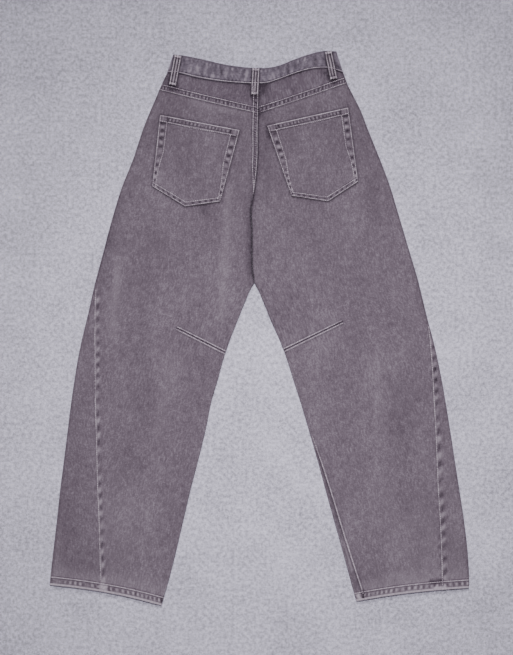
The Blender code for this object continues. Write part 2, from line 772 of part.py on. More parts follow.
def band_stations():
    """Return plan distance, height and slope of the band's outer face all round."""
    length = BAND_PATH.length
    radius = BAND_FOLD_RADIUS
    middle = length * 0.5
    stations = []
    lap_start = middle + BAND_LAP / 2
    for step in range(BAND_RUN_STEPS // 2 + 1):
        along = mix(lap_start, radius, step / (BAND_RUN_STEPS // 2))
        stations.append((along, BUTTON_LIFT, -1.0))
    for step in range(1, BAND_ARC_STEPS):
        angle = mix(-math.pi / 2, math.pi / 2, step / BAND_ARC_STEPS)
        stations.append((None, angle, 0.0))
    for step in range(BAND_RUN_STEPS + 1):
        along = mix(radius, length - radius, step / BAND_RUN_STEPS)
        stations.append((along, BAND_PATH.top_z(along), 1.0))
    for step in range(1, BAND_ARC_STEPS):
        angle = mix(math.pi / 2, -math.pi / 2, step / BAND_ARC_STEPS)
        stations.append((None, angle, 1.0))
    lap_end = middle - BAND_LAP / 2
    for step in range(BAND_RUN_STEPS // 2 + 1):
        along = mix(length - radius, lap_end, step / (BAND_RUN_STEPS // 2))
        climb = smooth((lap_start + BAND_LAP_STEP - along) / BAND_LAP_STEP)
        stations.append((along, BUTTON_LIFT + climb * (BAND_WALL + SEAM_GAP), -1.0))
    return stations


def make_band(collection):
    """Make the waistband, a flat ring whose ends lap at the front."""
    outer = []
    inner = []
    radius = BAND_FOLD_RADIUS
    for along, height, facing in band_stations():
        outer_row = []
        inner_row = []
        for level, dropped in zip(BAND_LEVELS, BAND_DROPS):
            drop = BAND_EDGE_DROP * dropped
            if along is None:
                for reach, points in ((radius - drop, outer_row), (radius - BAND_WALL, inner_row)):
                    plan = radius - reach * math.cos(height)
                    station = BAND_PATH.length - plan if facing else plan
                    x, y = BAND_PATH.place(station, level)
                    points.append((x, y, BUTTON_LIFT + radius + reach * math.sin(height)))
            else:
                x, y = BAND_PATH.place(along, level)
                outer_row.append((x, y, height - facing * drop))
                inner_row.append((x, y, height - facing * BAND_WALL))
        outer.append(outer_row)
        inner.append(inner_row)
    walled("waistband", outer, inner, DENIM, collection)


def patch_levels(size):
    """Return parts of a size with lines close to both ends for the raised edge."""
    edge = PATCH_EDGE / size
    return (0.0, edge, edge * 1.15, *PATCH_INSIDE, 1.0 - edge * 1.15, 1.0 - edge, 1.0)


def make_pocket(pocket, collection):
    """Make a patch pocket from the points of the back panel that it lies on."""
    top_length = math.dist(pocket.top_outer, pocket.top_inner)
    side_length = math.dist(pocket.top_outer, pocket.low_outer)
    tip_share = abs(pocket.tip[0] - pocket.low_outer[0])
    tip_share /= abs(pocket.low_inner[0] - pocket.low_outer[0])
    across = sorted({*patch_levels(top_length), round(tip_share, 3)})
    down = patch_levels(side_length)
    edge_across = PATCH_EDGE / top_length
    edge_down = PATCH_EDGE / side_length
    outer = []
    inner = []
    for level in down:
        outer_row = []
        inner_row = []
        for share in across:
            top_x = mix(pocket.top_outer[0], pocket.top_inner[0], share)
            top_y = mix(pocket.top_outer[1], pocket.top_inner[1], share)
            if share <= tip_share:
                part = share / tip_share
                low = (mix(pocket.low_outer[0], pocket.tip[0], part),
                       mix(pocket.low_outer[1], pocket.tip[1], part))
            else:
                part = (share - tip_share) / (1.0 - tip_share)
                low = (mix(pocket.tip[0], pocket.low_inner[0], part),
                       mix(pocket.tip[1], pocket.low_inner[1], part))
            x = mix(top_x, low[0], level)
            y = mix(top_y, low[1], level)
            from_side = min(share, 1.0 - share) / edge_across
            from_end = min(level, 1.0 - level) / edge_down
            near = min(from_side, from_end) <= 1.0
            under = leg_at(x, y).top_z(x, y) + REST_GAP
            raised = PATCH_RAISE if near else 0.0
            outer_row.append((x, y, under + PATCH_WALL + raised))
            inner_row.append((x, y, under))
        outer.append(outer_row)
        inner.append(inner_row)
    walled(pocket.name, outer, inner, DENIM, collection)


def cloth_top(x, y):
    """Return the height of the cloth that a back loop lies on."""
    if y > LOW_EDGE.at(x) - LOOP_REACH:
        return BAND_PATH.top_z(BAND_PATH.along_at(x, y))
    return leg_at(x, y).top_z(x, y) + SEAM_RAISE


def make_loop(loop, collection):
    """Make a belt loop that lies over the waistband and the cloth below it."""
    length = math.hypot(loop.low_x - loop.top_x, loop.low_y - loop.top_y)
    along_x = (loop.low_x - loop.top_x) / length
    along_y = (loop.low_y - loop.top_y) / length
    outer = []
    inner = []
    for step in range(LOOP_STEPS + 1):
        away = length * step / LOOP_STEPS
        outer_row = []
        inner_row = []
        rest = 0.0
        for across in (-0.5, 0.0, 0.5):
            x = loop.top_x + away * along_x - across * LOOP_WIDTH * along_y
            y = loop.top_y + away * along_y + across * LOOP_WIDTH * along_x
            rest = max(rest, cloth_top(x, y))
        for across, crown in ((-0.5, 0.0), (-0.3, 1.0), (0.3, 1.0), (0.5, 0.0)):
            x = loop.top_x + away * along_x - across * LOOP_WIDTH * along_y
            y = loop.top_y + away * along_y + across * LOOP_WIDTH * along_x
            if loop.front:
                low = BUTTON_LIFT - SEAM_GAP
                outer_row.append((x, y, low - LOOP_WALL - crown * LOOP_CROWN))
                inner_row.append((x, y, low))
            else:
                low = rest + REST_GAP
                outer_row.append((x, y, low + LOOP_WALL + crown * LOOP_CROWN))
                inner_row.append((x, y, low))
        outer.append(outer_row)
        inner.append(inner_row)
    walled(loop.name, outer, inner, DENIM, collection)


def make_shield(collection):
    """Make the fly shield, a strip inside the front behind the centre seam."""
    outer = []
    inner = []
    for step in range(SHIELD_STEPS + 1):
        y = mix(SHIELD_TOP_Y, SHIELD_END_Y, step / SHIELD_STEPS)
        start = RIGHT.inner_x(y)
        low = lift(y) + WALL + SEAM_GAP
        outer.append([(start, y, low + SHIELD_WALL), (start + SHIELD_WIDTH, y, low + SHIELD_WALL)])
        inner.append([(start, y, low), (start + SHIELD_WIDTH, y, low)])
    walled("fly_shield", outer, inner, DENIM_FRONT, collection)


def make_button(collection):
    """Make the waist button, a bevelled disc under the front of the band."""
    middle = BAND_PATH.length * 0.5
    x, y = BAND_PATH.place(middle, 0.5)
    form = bmesh.new()
    bmesh.ops.create_cone(
        form,
        cap_ends=True,
        segments=BUTTON_SIDES,
        radius1=BUTTON_RADIUS * METRES,
        radius2=BUTTON_RADIUS * METRES,
        depth=BUTTON_HEIGHT * METRES,
    )
    for vertex in form.verts:
        vertex.co.x += x * METRES
        vertex.co.y += y * METRES
        vertex.co.z += BUTTON_HEIGHT * METRES / 2
    mesh = bpy.data.meshes.new("waist_button")
    form.to_mesh(mesh)
    form.free()
    button = add_object("waist_button", mesh, METAL, collection)
    bevel = button.modifiers.new("rim", "BEVEL")
    bevel.width = BUTTON_BEVEL * METRES
    bevel.segments = 2
    bevel.limit_method = "ANGLE"


def centre(collection):
    """Move every mesh so that the whole stands on the origin's floor, centred."""
    corners = np.array([v.co for thing in collection.objects for v in thing.data.vertices])
    low = corners.min(axis=0)
    high = corners.max(axis=0)
    for thing in collection.objects:
        for vertex in thing.data.vertices:
            vertex.co.x -= (low[0] + high[0]) / 2
            vertex.co.y -= (low[1] + high[1]) / 2
            vertex.co.z -= low[2]


def build():
    """Clear the scene and make every piece."""
    for thing in list(bpy.data.objects):
        bpy.data.objects.remove(thing, do_unlink=True)
    collection = bpy.data.collections.new("barrel_leg_trousers")
    bpy.context.scene.collection.children.link(collection)
    for leg in (LEFT, RIGHT):
        make_front(leg, collection)
        make_back(leg, collection)
        make_yoke(leg, collection)
    make_band(collection)
    for pocket in POCKETS:
        make_pocket(pocket, collection)
    for loop in LOOPS:
        make_loop(loop, collection)
    make_shield(collection)
    make_button(collection)
    centre(collection)


build()
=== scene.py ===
"""Looks of the barrel leg trousers, laid flat with the back upward.

Every cloth piece is a thin shell on the form of its solid, with the puckers of
its seams, and the sewing is a run of small thread pieces on the cloth. Tables
are in millimetres in the drawing of the garment, where +X is the right of the
picture and +Y points to the waist. Meshes are made in metres in the part's
frame. "Plan" is a distance along a row of a leg as seen from above.
"""

import logging
import math
from dataclasses import dataclass, field
from enum import Enum
from typing import Callable, NamedTuple, Optional, Sequence, Union

import bmesh
import bpy
import numpy as np
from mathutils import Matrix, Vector
from mathutils.bvhtree import BVHTree

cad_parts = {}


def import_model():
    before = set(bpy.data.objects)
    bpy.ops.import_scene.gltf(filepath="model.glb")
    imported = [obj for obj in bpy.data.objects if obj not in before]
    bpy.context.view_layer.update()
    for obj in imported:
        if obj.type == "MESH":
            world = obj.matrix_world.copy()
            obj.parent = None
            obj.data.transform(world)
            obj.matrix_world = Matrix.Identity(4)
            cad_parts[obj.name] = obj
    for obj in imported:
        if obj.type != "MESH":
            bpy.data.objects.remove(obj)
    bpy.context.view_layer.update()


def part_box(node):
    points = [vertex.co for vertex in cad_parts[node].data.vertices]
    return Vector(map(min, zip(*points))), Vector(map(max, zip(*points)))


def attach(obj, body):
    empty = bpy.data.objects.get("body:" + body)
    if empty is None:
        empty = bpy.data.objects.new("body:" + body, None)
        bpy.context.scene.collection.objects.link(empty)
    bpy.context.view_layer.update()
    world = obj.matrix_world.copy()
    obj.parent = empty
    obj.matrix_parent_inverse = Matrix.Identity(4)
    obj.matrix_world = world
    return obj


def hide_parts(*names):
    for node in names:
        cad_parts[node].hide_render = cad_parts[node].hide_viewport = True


LOG = logging.getLogger("barrel_leg_trousers")
METRES = 0.001
Triple = tuple[float, float, float]
Array = np.ndarray
Pair = tuple[Array, Array]
Socket = bpy.types.NodeSocket


class Side(Enum):
    """The wearer's side, which is also the side of the picture."""

    LEFT = "left"
    RIGHT = "right"


class Lay(Enum):
    """Which way a cloth's underside lies from its outer face."""

    OUTER = 0
    INNER = 1


class Outline(NamedTuple):
    """The edges of both legs at one height of the drawing."""

    y: float
    left_outer: float
    left_inner: float
    right_inner: float
    right_outer: float


class BandEdge(NamedTuple):
    """The waistband's two edges at one place across the waist."""

    top_x: float
    top_y: float
    low_x: float
    low_y: float


class Row(NamedTuple):
    """A row across a leg: its end heights, its bow and where it starts to slope."""

    outer_y: float
    inner_y: float
    bow: float = 0.0
    bend: float = 0.0


class SeamPoint(NamedTuple):
    """How far a seam runs from a leg's edge on the upper face."""

    y: float
    from_edge: float


class Stripe(NamedTuple):
    """A soft line of tone or height at a distance from an edge."""

    amount: float
    away: float
    half_width: float


class Fold(NamedTuple):
    """A soft fold of both layers: its line, half width and height."""

    start_x: float
    start_y: float
    end_x: float
    end_y: float
    half_width: float
    rise: float


def table(kind: Callable[..., NamedTuple], *entries: tuple[float, ...]) -> tuple:
    """Return a table's entries, each as one of its kind."""
    return tuple(kind(*entry) for entry in entries)


OUTLINE = table(
    Outline,
    (473.5, -169.5, -3.0, -3.0, 154.0), (451.5, -180.5, -2.5, -2.5, 162.0),
    (429.0, -189.5, -2.0, -2.0, 173.0), (403.5, -200.5, -2.5, -2.5, 186.0),
    (366.5, -215.5, -3.5, -3.5, 200.5), (311.0, -234.0, -4.0, -4.0, 223.0),
    (255.5, -256.0, -9.5, -9.5, 243.5), (218.5, -267.5, -15.5, -15.5, 254.5),
    (181.5, -278.0, -14.0, -14.0, 265.5), (144.5, -287.5, -14.0, -14.0, 276.5),
    (107.5, -297.5, -13.0, -13.0, 287.5), (83.0, -304.0, -9.5, -9.5, 294.5),
    (70.5, -307.0, -17.0, -2.5, 297.5), (52.0, -311.0, -25.0, 5.5, 302.0),
    (15.0, -319.5, -40.0, 20.5, 311.0), (-22.0, -328.5, -54.5, 37.0, 321.0),
    (-59.0, -336.0, -67.0, 51.0, 329.5), (-96.0, -342.0, -77.0, 62.5, 337.0),
    (-133.0, -347.5, -88.0, 74.5, 343.5), (-188.5, -354.5, -99.5, 91.0, 352.5),
    (-244.0, -361.5, -113.0, 107.0, 361.0), (-299.5, -368.5, -127.5, 122.0, 369.5),
    (-355.0, -374.5, -140.5, 137.5, 378.0), (-410.5, -381.0, -153.5, 153.0, 384.5),
    (-466.0, -387.0, -167.5, 168.0, 387.5), (-514.5, -390.5, -181.5, 181.5, 386.0),
)

BAND = table(
    BandEdge,
    (-159.5, 504.5, -170.5, 472.0), (-144.5, 503.0, -153.0, 470.5), (-108.0, 496.0, -114.0, 461.5),
    (-64.0, 486.0, -65.5, 454.0), (-29.0, 481.0, -30.5, 451.5), (-5.5, 479.5, -6.5, 450.5),
    (10.0, 479.5, 13.0, 451.5), (32.5, 483.0, 35.5, 458.5), (65.0, 495.5, 68.5, 470.5),
    (94.5, 505.5, 97.5, 478.0), (117.0, 510.5, 126.5, 479.0), (142.0, 510.5, 154.5, 471.5),
)

ROWS = {
    Side.LEFT: table(
        Row,
        (439.5, 396.0), (393.0, 359.5), (340.0, 323.5), (284.0, 278.5), (236.0, 236.0),
        (198.0, 198.0), (146.0, 146.0), (98.0, 98.0), (83.0, 83.0), (72.0, 72.0),
        (61.0, 56.0, 0.0, 0.5), (46.0, 34.0, 0.0, 0.55), (28.0, 6.0, 0.0, 0.6),
        (12.0, -22.0, 0.0, 0.62), (0.0, -45.5, 0.0, 0.62), (-14.0, -64.0, 0.0, 0.6),
        (-34.0, -80.0, 0.0, 0.55), (-60.0, -98.0, 0.0, 0.5), (-90.0, -119.0, 0.0, 0.4),
        (-120.0, -141.0, 0.0, 0.3), (-150.0, -164.0), (-213.0, -216.0), (-277.0, -278.0),
        (-341.0, -347.0), (-405.0, -421.0, 0.5), (-435.0, -459.0, 1.5), (-456.5, -495.5, 4.5),
        (-475.0, -513.0, 5.0),
    ),
    Side.RIGHT: table(
        Row,
        (452.0, 396.0, 1.5), (405.0, 359.5), (348.0, 323.5), (288.0, 278.5), (236.0, 236.0),
        (198.0, 198.0), (146.0, 146.0), (98.0, 98.0), (83.0, 83.0), (76.0, 72.0, 0.0, 0.4),
        (66.0, 56.0, 0.0, 0.45), (52.0, 35.0, 0.0, 0.5), (36.0, 8.0, 0.0, 0.55),
        (22.0, -18.0, 0.0, 0.55), (11.5, -39.0, 0.0, 0.55), (-4.0, -58.0, 0.0, 0.55),
        (-25.0, -75.0, 0.0, 0.5), (-52.0, -94.0, 0.0, 0.45), (-83.0, -116.0, 0.0, 0.4),
        (-115.0, -139.0, 0.0, 0.3), (-147.0, -163.0), (-213.0, -217.0), (-279.0, -281.0),
        (-345.0, -352.0), (-410.0, -424.0, 1.0), (-440.0, -460.0, 3.0), (-462.0, -486.0, 3.0),
        (-480.5, -505.0, 3.5),
    ),
}

FIRST_ROW = np.s_[:1]
LAST_ROW = np.s_[-1:]
FIRST_COLUMN = np.s_[:, :1]
LAST_COLUMN = np.s_[:, -1:]

TOP_STEPS = (0.4, 0.8, 1.3, 1.9, 2.6, 3.5, 5.0)
DART_INTERVALS = (14, 15)
FINE_PITCH = 0.8
YOKE_REACH = 58.0
SEAM_RISE = 6.0
INSEAM_RISE = 4.0

OUTSEAMS = {
    Side.LEFT: table(
        SeamPoint,
        (83.0, 2.3), (55.5, 6.2), (20.5, 13.3), (-39.0, 27.1), (-157.0, 47.1), (-272.0, 64.7),
        (-377.5, 80.6), (-484.5, 95.4),
    ),
    Side.RIGHT: table(
        SeamPoint,
        (15.0, 2.3), (-9.0, 4.8), (-43.5, 10.0), (-119.0, 20.5), (-198.0, 29.0), (-312.0, 41.4),
        (-431.0, 50.0), (-488.0, 51.0),
    ),
}

INSEAM = table(
    SeamPoint,
    (-116.0, 0.0), (-139.0, 0.35), (-163.0, 0.85), (-189.0, 1.5), (-217.0, 3.2), (-301.0, 8.1),
    (-395.0, 10.5), (-499.5, 16.0),
)

FOLDS = table(
    Fold,
    (-51.0, 250.0, -70.0, 40.0, 15.0, 0.7), (-266.0, 150.0, -278.0, -30.0, 14.0, 0.7),
    (-212.0, 60.0, -216.0, -200.0, 18.0, -0.5), (-150.0, -20.0, -192.0, -190.0, 16.0, 0.5),
    (-106.0, 238.0, -98.0, 205.0, 13.0, -0.4), (10.0, 330.0, 6.0, 215.0, 9.0, -0.4),
    (262.0, -90.0, 272.0, -330.0, 18.0, -0.5), (208.0, -60.0, 226.0, -220.0, 18.0, 0.5),
    (148.0, 140.0, 170.0, 40.0, 20.0, 0.45), (-250.0, -250.0, -240.0, -400.0, 16.0, -0.4),
)


# Areas of tone, each a Fold whose rise is the tone: painted shade and light along the soft folds,
# painted shadows under the pockets and beside the loops, painted light on the lower legs, and wash
# and wear patches.
SHADES = table(
    Fold,
    (14.0, 420.0, 10.0, 230.0, 10.0, -0.22), (-14.0, 290.0, -18.0, 100.0, 8.0, -0.3),
    (-57.0, 250.0, -70.0, 20.0, 9.0, 0.11), (-266.0, 130.0, -269.0, -10.0, 12.0, 0.12),
    (-256.0, 237.0, -277.0, 160.0, 15.0, -0.2), (-278.0, 160.0, -288.0, 85.0, 12.0, -0.28),
    (-106.0, 239.0, -103.0, 218.0, 10.0, -0.5), (-344.0, -100.0, -350.0, -280.0, 18.0, -0.1),
    (-336.0, -340.0, -322.0, -430.0, 26.0, -0.13), (-374.0, -360.0, -380.0, -440.0, 14.0, 0.08),
    (-166.0, 460.0, -158.0, 446.0, 9.0, -0.75), (-19.0, 449.0, -20.0, 440.0, 6.0, -0.5),
    (8.0, 450.0, 6.0, 438.0, 10.0, -0.8), (1.0, 402.0, 2.0, 396.0, 7.0, -0.5),
    (122.0, 470.0, 128.0, 462.0, 7.0, -0.75), (-120.0, 414.0, -24.0, 400.0, 9.0, 0.12),
    (24.0, 408.0, 90.0, 424.0, 8.0, 0.08), (-250.0, -330.0, -285.0, -500.0, 60.0, 0.06),
    (260.0, -330.0, 305.0, -500.0, 60.0, 0.07), (158.0, -395.0, 171.0, -445.0, 5.0, 0.45),
    (-212.0, 40.0, -220.0, -160.0, 16.0, -0.12), (-160.0, -60.0, -190.0, -200.0, 14.0, 0.06),
    (255.0, -100.0, 270.0, -330.0, 18.0, -0.1), (212.0, -60.0, 228.0, -220.0, 16.0, 0.05),
    (350.0, -240.0, 366.0, -440.0, 24.0, 0.05), (316.0, -360.0, 320.0, -430.0, 14.0, 0.05),
    (262.0, 40.0, 276.0, -10.0, 12.0, -0.08), (323.0, -70.0, 327.0, -110.0, 7.0, -0.25),
    (16.0, 361.0, 17.0, 355.0, 5.0, -0.6), (-292.0, -477.5, -284.0, -479.0, 4.4, 1.4),
    (-298.0, -473.0, -298.0, -482.0, 1.8, -0.7), (-277.5, -476.0, -277.5, -485.0, 1.8, -0.7),
    (317.0, -469.5, 338.0, -466.5, 4.2, -1.0), (324.0, -480.0, 342.0, -478.0, 3.0, 0.9),
    (182.0, -492.0, 185.0, -499.0, 3.6, 1.1), (191.0, -485.0, 192.0, -496.0, 2.4, -1.2),
    (-181.5, -497.0, -179.0, -509.0, 3.0, -0.6),
)


def smooth(amount: Array) -> Array:
    """Return eased steps from 0 to 1, held outside that range."""
    held = np.clip(amount, 0.0, 1.0)
    return held * held * (3.0 - 2.0 * held)


def mix(first: Array, second: Array, share: Array) -> Array:
    """Return the values share of the way from first to second."""
    return first + (second - first) * share


def bump(away: Array, half_width: float) -> Array:
    """Return a soft hill of height 1 over a distance from its middle."""
    return np.exp(-((away / half_width) ** 2))


def stripes(lines: Sequence[Stripe], distance: Array) -> Array:
    """Return the sum of soft lines at distances from their edge."""
    return sum(line.amount * bump(distance - line.away, line.half_width) for line in lines)


def from_edge(x: Array, y: Array, edge: object) -> Array:
    """Return distances from a grid's first or last row or column."""
    return np.hypot(x - x[edge], y - y[edge])


def from_line(fold: Fold, x: Array, y: Array) -> Array:
    """Return the distances of places from a fold's line."""
    span_x = fold.end_x - fold.start_x
    span_y = fold.end_y - fold.start_y
    span = span_x * span_x + span_y * span_y
    along = ((x - fold.start_x) * span_x + (y - fold.start_y) * span_y) / span
    held = np.clip(along, 0.0, 1.0)
    return np.hypot(x - fold.start_x - held * span_x, y - fold.start_y - held * span_y)


@dataclass
class Curve:
    """A smooth curve through the points of a table, straight beyond its ends."""

    places: Array
    values: Array
    slopes: Array = field(init=False)

    def __post_init__(self) -> None:
        """Sort the points and find the slope at each."""
        order = np.argsort(self.places)
        self.places = np.asarray(self.places, dtype=float)[order]
        self.values = np.asarray(self.values, dtype=float)[order]
        self.slopes = np.gradient(self.values, self.places)

    def at(self, place: Array) -> Array:
        """Return the values at places.

        Args:
            place: Where the values are wanted.

        Returns:
            The curve's value at each place.
        """
        wanted = np.asarray(place, dtype=float)
        start = np.clip(np.searchsorted(self.places, wanted) - 1, 0, len(self.places) - 2)
        width = self.places[start + 1] - self.places[start]
        along = (wanted - self.places[start]) / width
        square = along * along
        cube = square * along
        inside = (
            (2 * cube - 3 * square + 1) * self.values[start]
            + (cube - 2 * square + along) * width * self.slopes[start]
            + (3 * square - 2 * cube) * self.values[start + 1]
            + (cube - square) * width * self.slopes[start + 1]
        )
        before = self.values[0] + self.slopes[0] * (wanted - self.places[0])
        after = self.values[-1] + self.slopes[-1] * (wanted - self.places[-1])
        kept = np.where(wanted < self.places[0], before, inside)
        return np.where(wanted > self.places[-1], after, kept)


@dataclass(frozen=True)
class Ripple:
    """An uneven wave along a seam, always the same for the same seed."""

    pitch: float
    seed: int
    unevenness: float = 0.35

    def at(self, along: Array) -> Array:
        """Return the wave from -1 to 1 at distances along the seam.

        Args:
            along: Distances in millimetres.

        Returns:
            The wave's height at each distance.
        """
        draw = np.random.default_rng(self.seed)
        phases = draw.uniform(0.0, 2 * math.pi, 6)
        drift = np.zeros_like(along)
        for number, phase in enumerate(phases[:3]):
            drift = drift + np.sin(along / (self.pitch * (1.7 + 1.3 * number)) + phase)
        strength = 1.0 - self.unevenness * (
            0.5 + 0.5 * np.sin(along / (self.pitch * 0.83) + phases[3])
        )
        turn = 2 * math.pi * along / self.pitch + drift * 1.3 * self.unevenness * 2 + phases[4]
        return np.cos(turn) * strength


@dataclass(frozen=True)
class Unevenness:
    """Low hills and hollows that laid cloth keeps, from a few crossed waves."""

    pitch: float
    height: float
    seed: int
    waves: int = 14

    def at(self, x: Array, y: Array) -> Array:
        """Return the height of the cloth's unevenness at places in millimetres."""
        draw = np.random.default_rng(self.seed)
        total = np.zeros_like(x)
        for _ in range(self.waves):
            angle = draw.uniform(0.0, 2 * math.pi)
            pitch = self.pitch * draw.uniform(0.6, 1.7)
            phase = draw.uniform(0.0, 2 * math.pi)
            across = x * math.cos(angle) + 0.55 * y * math.sin(angle)
            total = total + np.sin(2 * math.pi * across / pitch + phase)
        return self.height * total / math.sqrt(self.waves / 2)


@dataclass
class GarmentForm:
    """The form of the laid trousers, shared by all of their pieces."""

    wall: float = 1.3
    band_wall: float = 1.7
    fold_radius: float = 1.7
    band_fold_radius: float = 2.3
    layer_height: float = 5.0
    band_height: float = 5.9
    outer_ramp: float = 18.0
    band_ramp: float = 22.0
    button_lift: float = 2.6
    lift_start_y: float = 320.0
    lift_end_y: float = 425.0
    crotch_open_y: float = 245.0
    crotch_closed_y: float = 205.0
    apex_y: float = 83.0
    joint_gap: float = 0.12
    band_depth: float = 31.0
    broad: Unevenness = Unevenness(pitch=62.0, height=0.16, seed=11)
    fine: Unevenness = Unevenness(pitch=21.0, height=0.05, seed=23)

    def __post_init__(self) -> None:
        """Make the curves that the pieces read."""
        self.quarter = self.fold_radius * math.pi / 2
        self.low_edge = Curve([b.low_x for b in BAND], [b.low_y for b in BAND])
        together = [line for line in OUTLINE if line.y >= self.apex_y]
        self.middle = Curve([o.y for o in together], [o.left_inner for o in together])

    def lift(self, y: Array) -> Array:
        """Return how far the front's underside stands off the floor."""
        span = self.lift_end_y - self.lift_start_y
        return self.button_lift * smooth((y - self.lift_start_y) / span)

    def closed(self, y: Array) -> Array:
        """Return 0 at the centre seams and 1 in the legs."""
        return smooth((self.crotch_open_y - y) / (self.crotch_open_y - self.crotch_closed_y))

    def folds(self, x: Array, y: Array) -> Array:
        """Return the height that the soft folds and the unevenness add."""
        total = self.broad.at(x, y) + self.fine.at(x, y)
        for fold in FOLDS:
            total = total + fold.rise * bump(from_line(fold, x, y), fold.half_width)
        return total


@dataclass
class Leg:
    """One half of the trousers: its edges, rows and heights."""

    form: GarmentForm
    side: Side
    inner_ramp: float
    ridge_on_back: bool

    def __post_init__(self) -> None:
        """Make the leg's curves from the tables."""
        self.inward = 1.0 if self.side is Side.LEFT else -1.0
        apart = [line for line in OUTLINE if line.y <= self.form.apex_y]
        outer_name = self.side.value + "_outer"
        inner_name = self.side.value + "_inner"
        self.outer = Curve([o.y for o in OUTLINE], [getattr(o, outer_name) for o in OUTLINE])
        self.inner_leg = Curve([o.y for o in apart], [getattr(o, inner_name) for o in apart])
        seam = OUTSEAMS[self.side]
        self.outseam = Curve([s.y for s in seam], [s.from_edge for s in seam])
        self.inseam = Curve([s.y for s in INSEAM], [s.from_edge for s in INSEAM])

    def inner(self, y: Array) -> Array:
        """Return the inner edge, which both halves share above the legs."""
        return np.where(y >= self.form.apex_y, self.form.middle.at(y), self.inner_leg.at(y))

    def inner_x(self, y: Array) -> Array:
        """Return the inner edge, a little short of the other half."""
        return self.inner(y) - self.inward * self.form.joint_gap / 2

    def top_z(self, x: Array, y: Array) -> Array:
        """Return the plain height of the upper layer's outer face."""
        form = self.form
        from_outer = self.inward * (x - self.outer.at(y))
        from_inner = self.inward * (self.inner(y) - x)
        outer_rise = smooth((from_outer - form.fold_radius) / form.outer_ramp)
        inner_rise = smooth((from_inner - form.fold_radius) / self.inner_ramp)
        inner_rise = mix(1.0, inner_rise, form.closed(y))
        edge = form.lift(y) + 2 * form.fold_radius
        flat = form.lift(y) + form.layer_height + form.folds(x, y)
        return mix(edge, flat, outer_rise * inner_rise)

    def around(self, plan: Array) -> Array:
        """Return the distance over a fold for a distance seen from above."""
        radius = self.form.fold_radius
        on_fold = radius * np.arccos(np.clip(1.0 - plan / radius, -1.0, 1.0))
        return np.where(plan < radius, on_fold, self.form.quarter + plan - radius)


